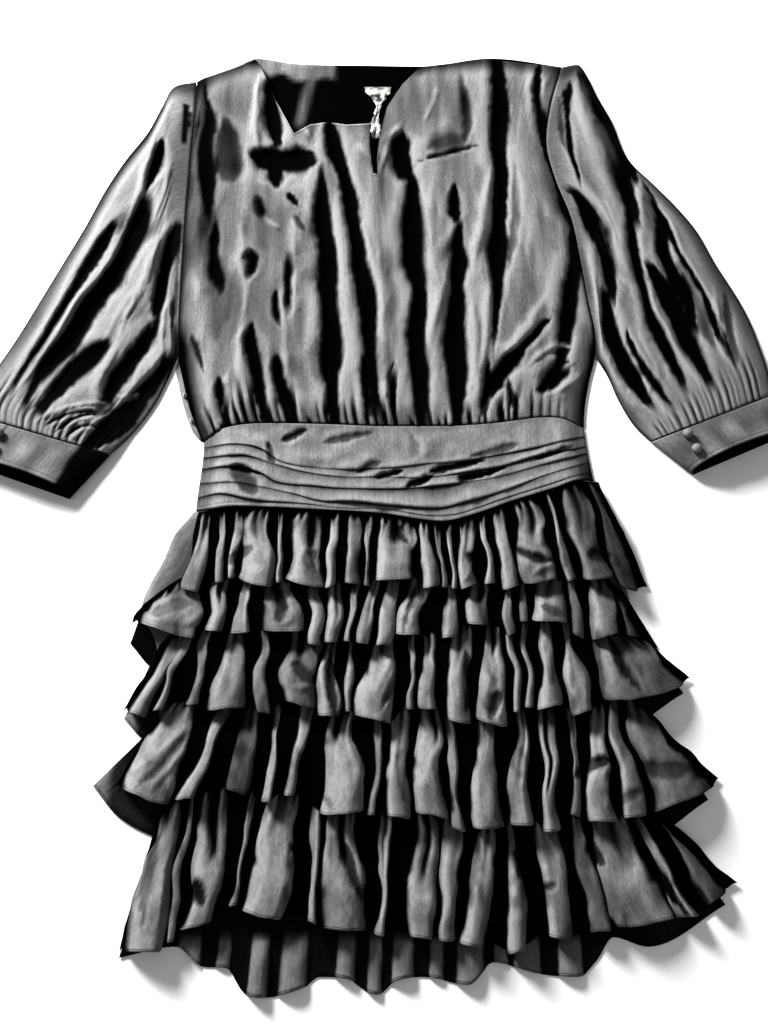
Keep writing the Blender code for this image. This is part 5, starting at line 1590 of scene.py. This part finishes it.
# Satin tape inside the back neck
tape = {
    "rows": 60,
    "columns": 25,
    "rise": (0.0, 0.5, -0.3, 0.55, 0.1),
    "lowest": 1.9,
    "sway": 1.5,
    "crease": 0.8,
    "thickness": 0.35,
    "foldDeep": 1.5,
    "colour": (0.4, 0.39, 0.37, 1),
    "foldShadeColour": (0.02, 0.019, 0.018, 1),
    "grainDepth": 0.1,
    "streakDepth": 0.4,
    "bumpHeight": 0.0001,
    "roughness": 0.34,
    "sheen": 0.15,
}
tapePlaces = tableOf(
    "y centre width lift",
    (661, -9, 7, 2.5),
    (672, -9, 9, 3.7),
    (686, -9, 9, 2.7),
    (698, -7, 5, 3.3),
    (708, -6, 6, 4.3),
    (718, -5, 15, 2.9),
    (727, -6, 27, 3.9),
    (735, -6, 31, 2.3),
)


def satinMaterial():
    look = [tape[name] for name in ("colour", "foldShadeColour", "grainDepth", "streakDepth")]
    material, tree, shader, weave = wovenMaterial("paleSatin", *look)
    addBump(tree, shader, weave.outputs["Height"], tape["bumpHeight"])
    shader.inputs["Roughness"].default_value = tape["roughness"]
    shader.inputs["Sheen Weight"].default_value = tape["sheen"]
    return material


def makeTape():
    rowsAt = np.linspace(tapePlaces["y"][0], tapePlaces["y"][-1], tape["rows"])
    across = np.linspace(-0.5, 0.5, tape["columns"])
    names = ("centre", "width", "lift")
    centre, width, lift = [curveAt(rowsAt, tapePlaces["y"], tapePlaces[name])[:, None] for name in names]
    crumple = curveAt(across + 0.5, np.linspace(0, 1, len(tape["rise"])), tape["rise"])
    y = rowsAt[:, None] + 0 * across
    x = centre + width * across + tape["sway"] * softNoise(y / 3.5, across * 4, 101)
    creases = tape["crease"] * softNoise(x / 2.8, y / 3.5, 102)
    z = np.maximum(lift + crumple + creases, tape["lowest"])
    # Painted shade in the tape's creases, from how far each point stands out
    paintedShading = foldShading(z, 4, 4, tape["foldDeep"])
    walls = {"thickness": tape["thickness"], "hemThickness": tape["thickness"]}
    piece = clothPanel("neckTape", "neck_tape", (x, y, z), paintedShading, **walls)
    satin = satinMaterial()
    piece.data.materials[0] = satin
    piece.data.materials[1] = satin
    return piece


neckTape = makeTape()

# Press studs: a domed cap with a low rim
stud = {"around": 28, "colour": (0.55, 0.55, 0.56, 1), "shiny": 0.22, "dull": 0.45}
# Outline from the crown out and down: share of the radius and of the height
studOutline = tableOf(
    "share up",
    (0.0, 1.0), (0.3, 0.96), (0.5, 0.84), (0.62, 0.6), (0.66, 0.34), (0.9, 0.28), (1.0, 0.16),
    (0.96, 0.02), (0.0, 0.0),
)


def metalMaterial():
    material = bpy.data.materials.new("studMetal")
    material.use_nodes = True
    tree = material.node_tree
    shader = tree.nodes["Principled BSDF"]
    place = tree.nodes.new("ShaderNodeTexCoord")
    scuff = noiseNode(tree, place.outputs["Object"], 900, 3.0)
    ramp = tree.nodes.new("ShaderNodeMapRange")
    ramp.inputs["To Min"].default_value = stud["shiny"]
    ramp.inputs["To Max"].default_value = stud["dull"]
    tree.links.new(scuff, ramp.inputs["Value"])
    tree.links.new(ramp.outputs["Result"], shader.inputs["Roughness"])
    shader.inputs["Base Color"].default_value = stud["colour"]
    shader.inputs["Metallic"].default_value = 1.0
    return material


studMetal = metalMaterial()


def makeStud(name, nodeName):
    low, high = [np.array(corner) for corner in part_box(nodeName)]
    radius = 0.5 * (high[0] - low[0])
    height = high[2] - low[2]
    cage = bmesh.new()
    turns = 2 * math.pi * np.arange(stud["around"]) / stud["around"]
    rings = []
    for share, up in zip(studOutline["share"], studOutline["up"]):
        reach = radius * share
        places = [(reach * math.cos(turn), reach * math.sin(turn), height * up) for turn in turns]
        rings.append([cage.verts.new(place) for place in places])
    for upper, under in zip(rings[:-1], rings[1:]):
        for k in range(stud["around"]):
            cage.faces.new((upper[k - 1], under[k - 1], under[k], upper[k]))
    bmesh.ops.remove_doubles(cage, verts=cage.verts, dist=1e-7)
    bmesh.ops.recalc_face_normals(cage, faces=cage.faces)
    mesh = meshOf(name, cage)
    mesh.materials.append(studMetal)
    centre = 0.5 * (low + high)
    addPiece(name, mesh, nodeName).location = Vector((centre[0], centre[1], low[2]))


for number in (1, 2):
    makeStud(f"pressStud{number}", f"press_stud_{number}")
print("buttons, tape and studs made")


# Studio: pale floor, one soft window-like light from the shoulder side, and a weak fill
studio = {
    "floorColour": (0.7, 0.7, 0.69, 1),
    "floorSize": 6.0,
    "keyPlace": (-1.15, 1.15, 0.95),
    "keySize": 0.55,
    "keyPower": 95.0,
    "fillPlace": (0.9, -1.2, 1.8),
    "fillSize": 1.6,
    "fillPower": 4.0,
    "skyStrength": 0.33,
    "cameraTilt": 20.5,
    "cameraLens": 27.07,
    "sensorWidth": 36.0,
}


def addFloor():
    size = studio["floorSize"]
    mesh = bpy.data.meshes.new("floor")
    corners = [(-size, -size, 0), (size, -size, 0), (size, size, 0), (-size, size, 0)]
    mesh.from_pydata(corners, [], [range(4)])
    material = bpy.data.materials.new("paleFloor")
    material.use_nodes = True
    shader = material.node_tree.nodes["Principled BSDF"]
    shader.inputs["Base Color"].default_value = studio["floorColour"]
    shader.inputs["Roughness"].default_value = 0.9
    shader.inputs["Specular IOR Level"].default_value = 0.1
    mesh.materials.append(material)
    floor = bpy.data.objects.new("floor", mesh)
    bpy.context.scene.collection.objects.link(floor)


def addLight(name, place, size, power):
    light = bpy.data.lights.new(name, "AREA")
    light.size = size
    light.energy = power
    lamp = bpy.data.objects.new(name, light)
    lamp.location = place
    lamp.rotation_euler = (-Vector(place)).to_track_quat("-Z", "Y").to_euler()
    bpy.context.scene.collection.objects.link(lamp)


addFloor()
addLight("key", studio["keyPlace"], studio["keySize"], studio["keyPower"])
addLight("fill", studio["fillPlace"], studio["fillSize"], studio["fillPower"])
world = bpy.data.worlds.new("studioSky")
world.use_nodes = True
sky = world.node_tree.nodes["Background"]
sky.inputs["Color"].default_value = (1, 1, 1, 1)
sky.inputs["Strength"].default_value = studio["skyStrength"]
bpy.context.scene.world = world
bpy.context.scene.view_settings.view_transform = "Standard"
bpy.context.scene.view_settings.look = "High Contrast"

# The camera stands where placed() has its eye, tilted towards the shoulders
camera = bpy.data.cameras.new("camera")
camera.lens = studio["cameraLens"]
camera.sensor_width = studio["sensorWidth"]
cameraObject = bpy.data.objects.new("camera", camera)
cameraObject.location = (rowShift + [0, 0, eyeHeight]) * millimetre
cameraObject.rotation_euler = (math.radians(studio["cameraTilt"]), 0, 0)
bpy.context.scene.collection.objects.link(cameraObject)
bpy.context.scene.camera = cameraObject
print("studio set")
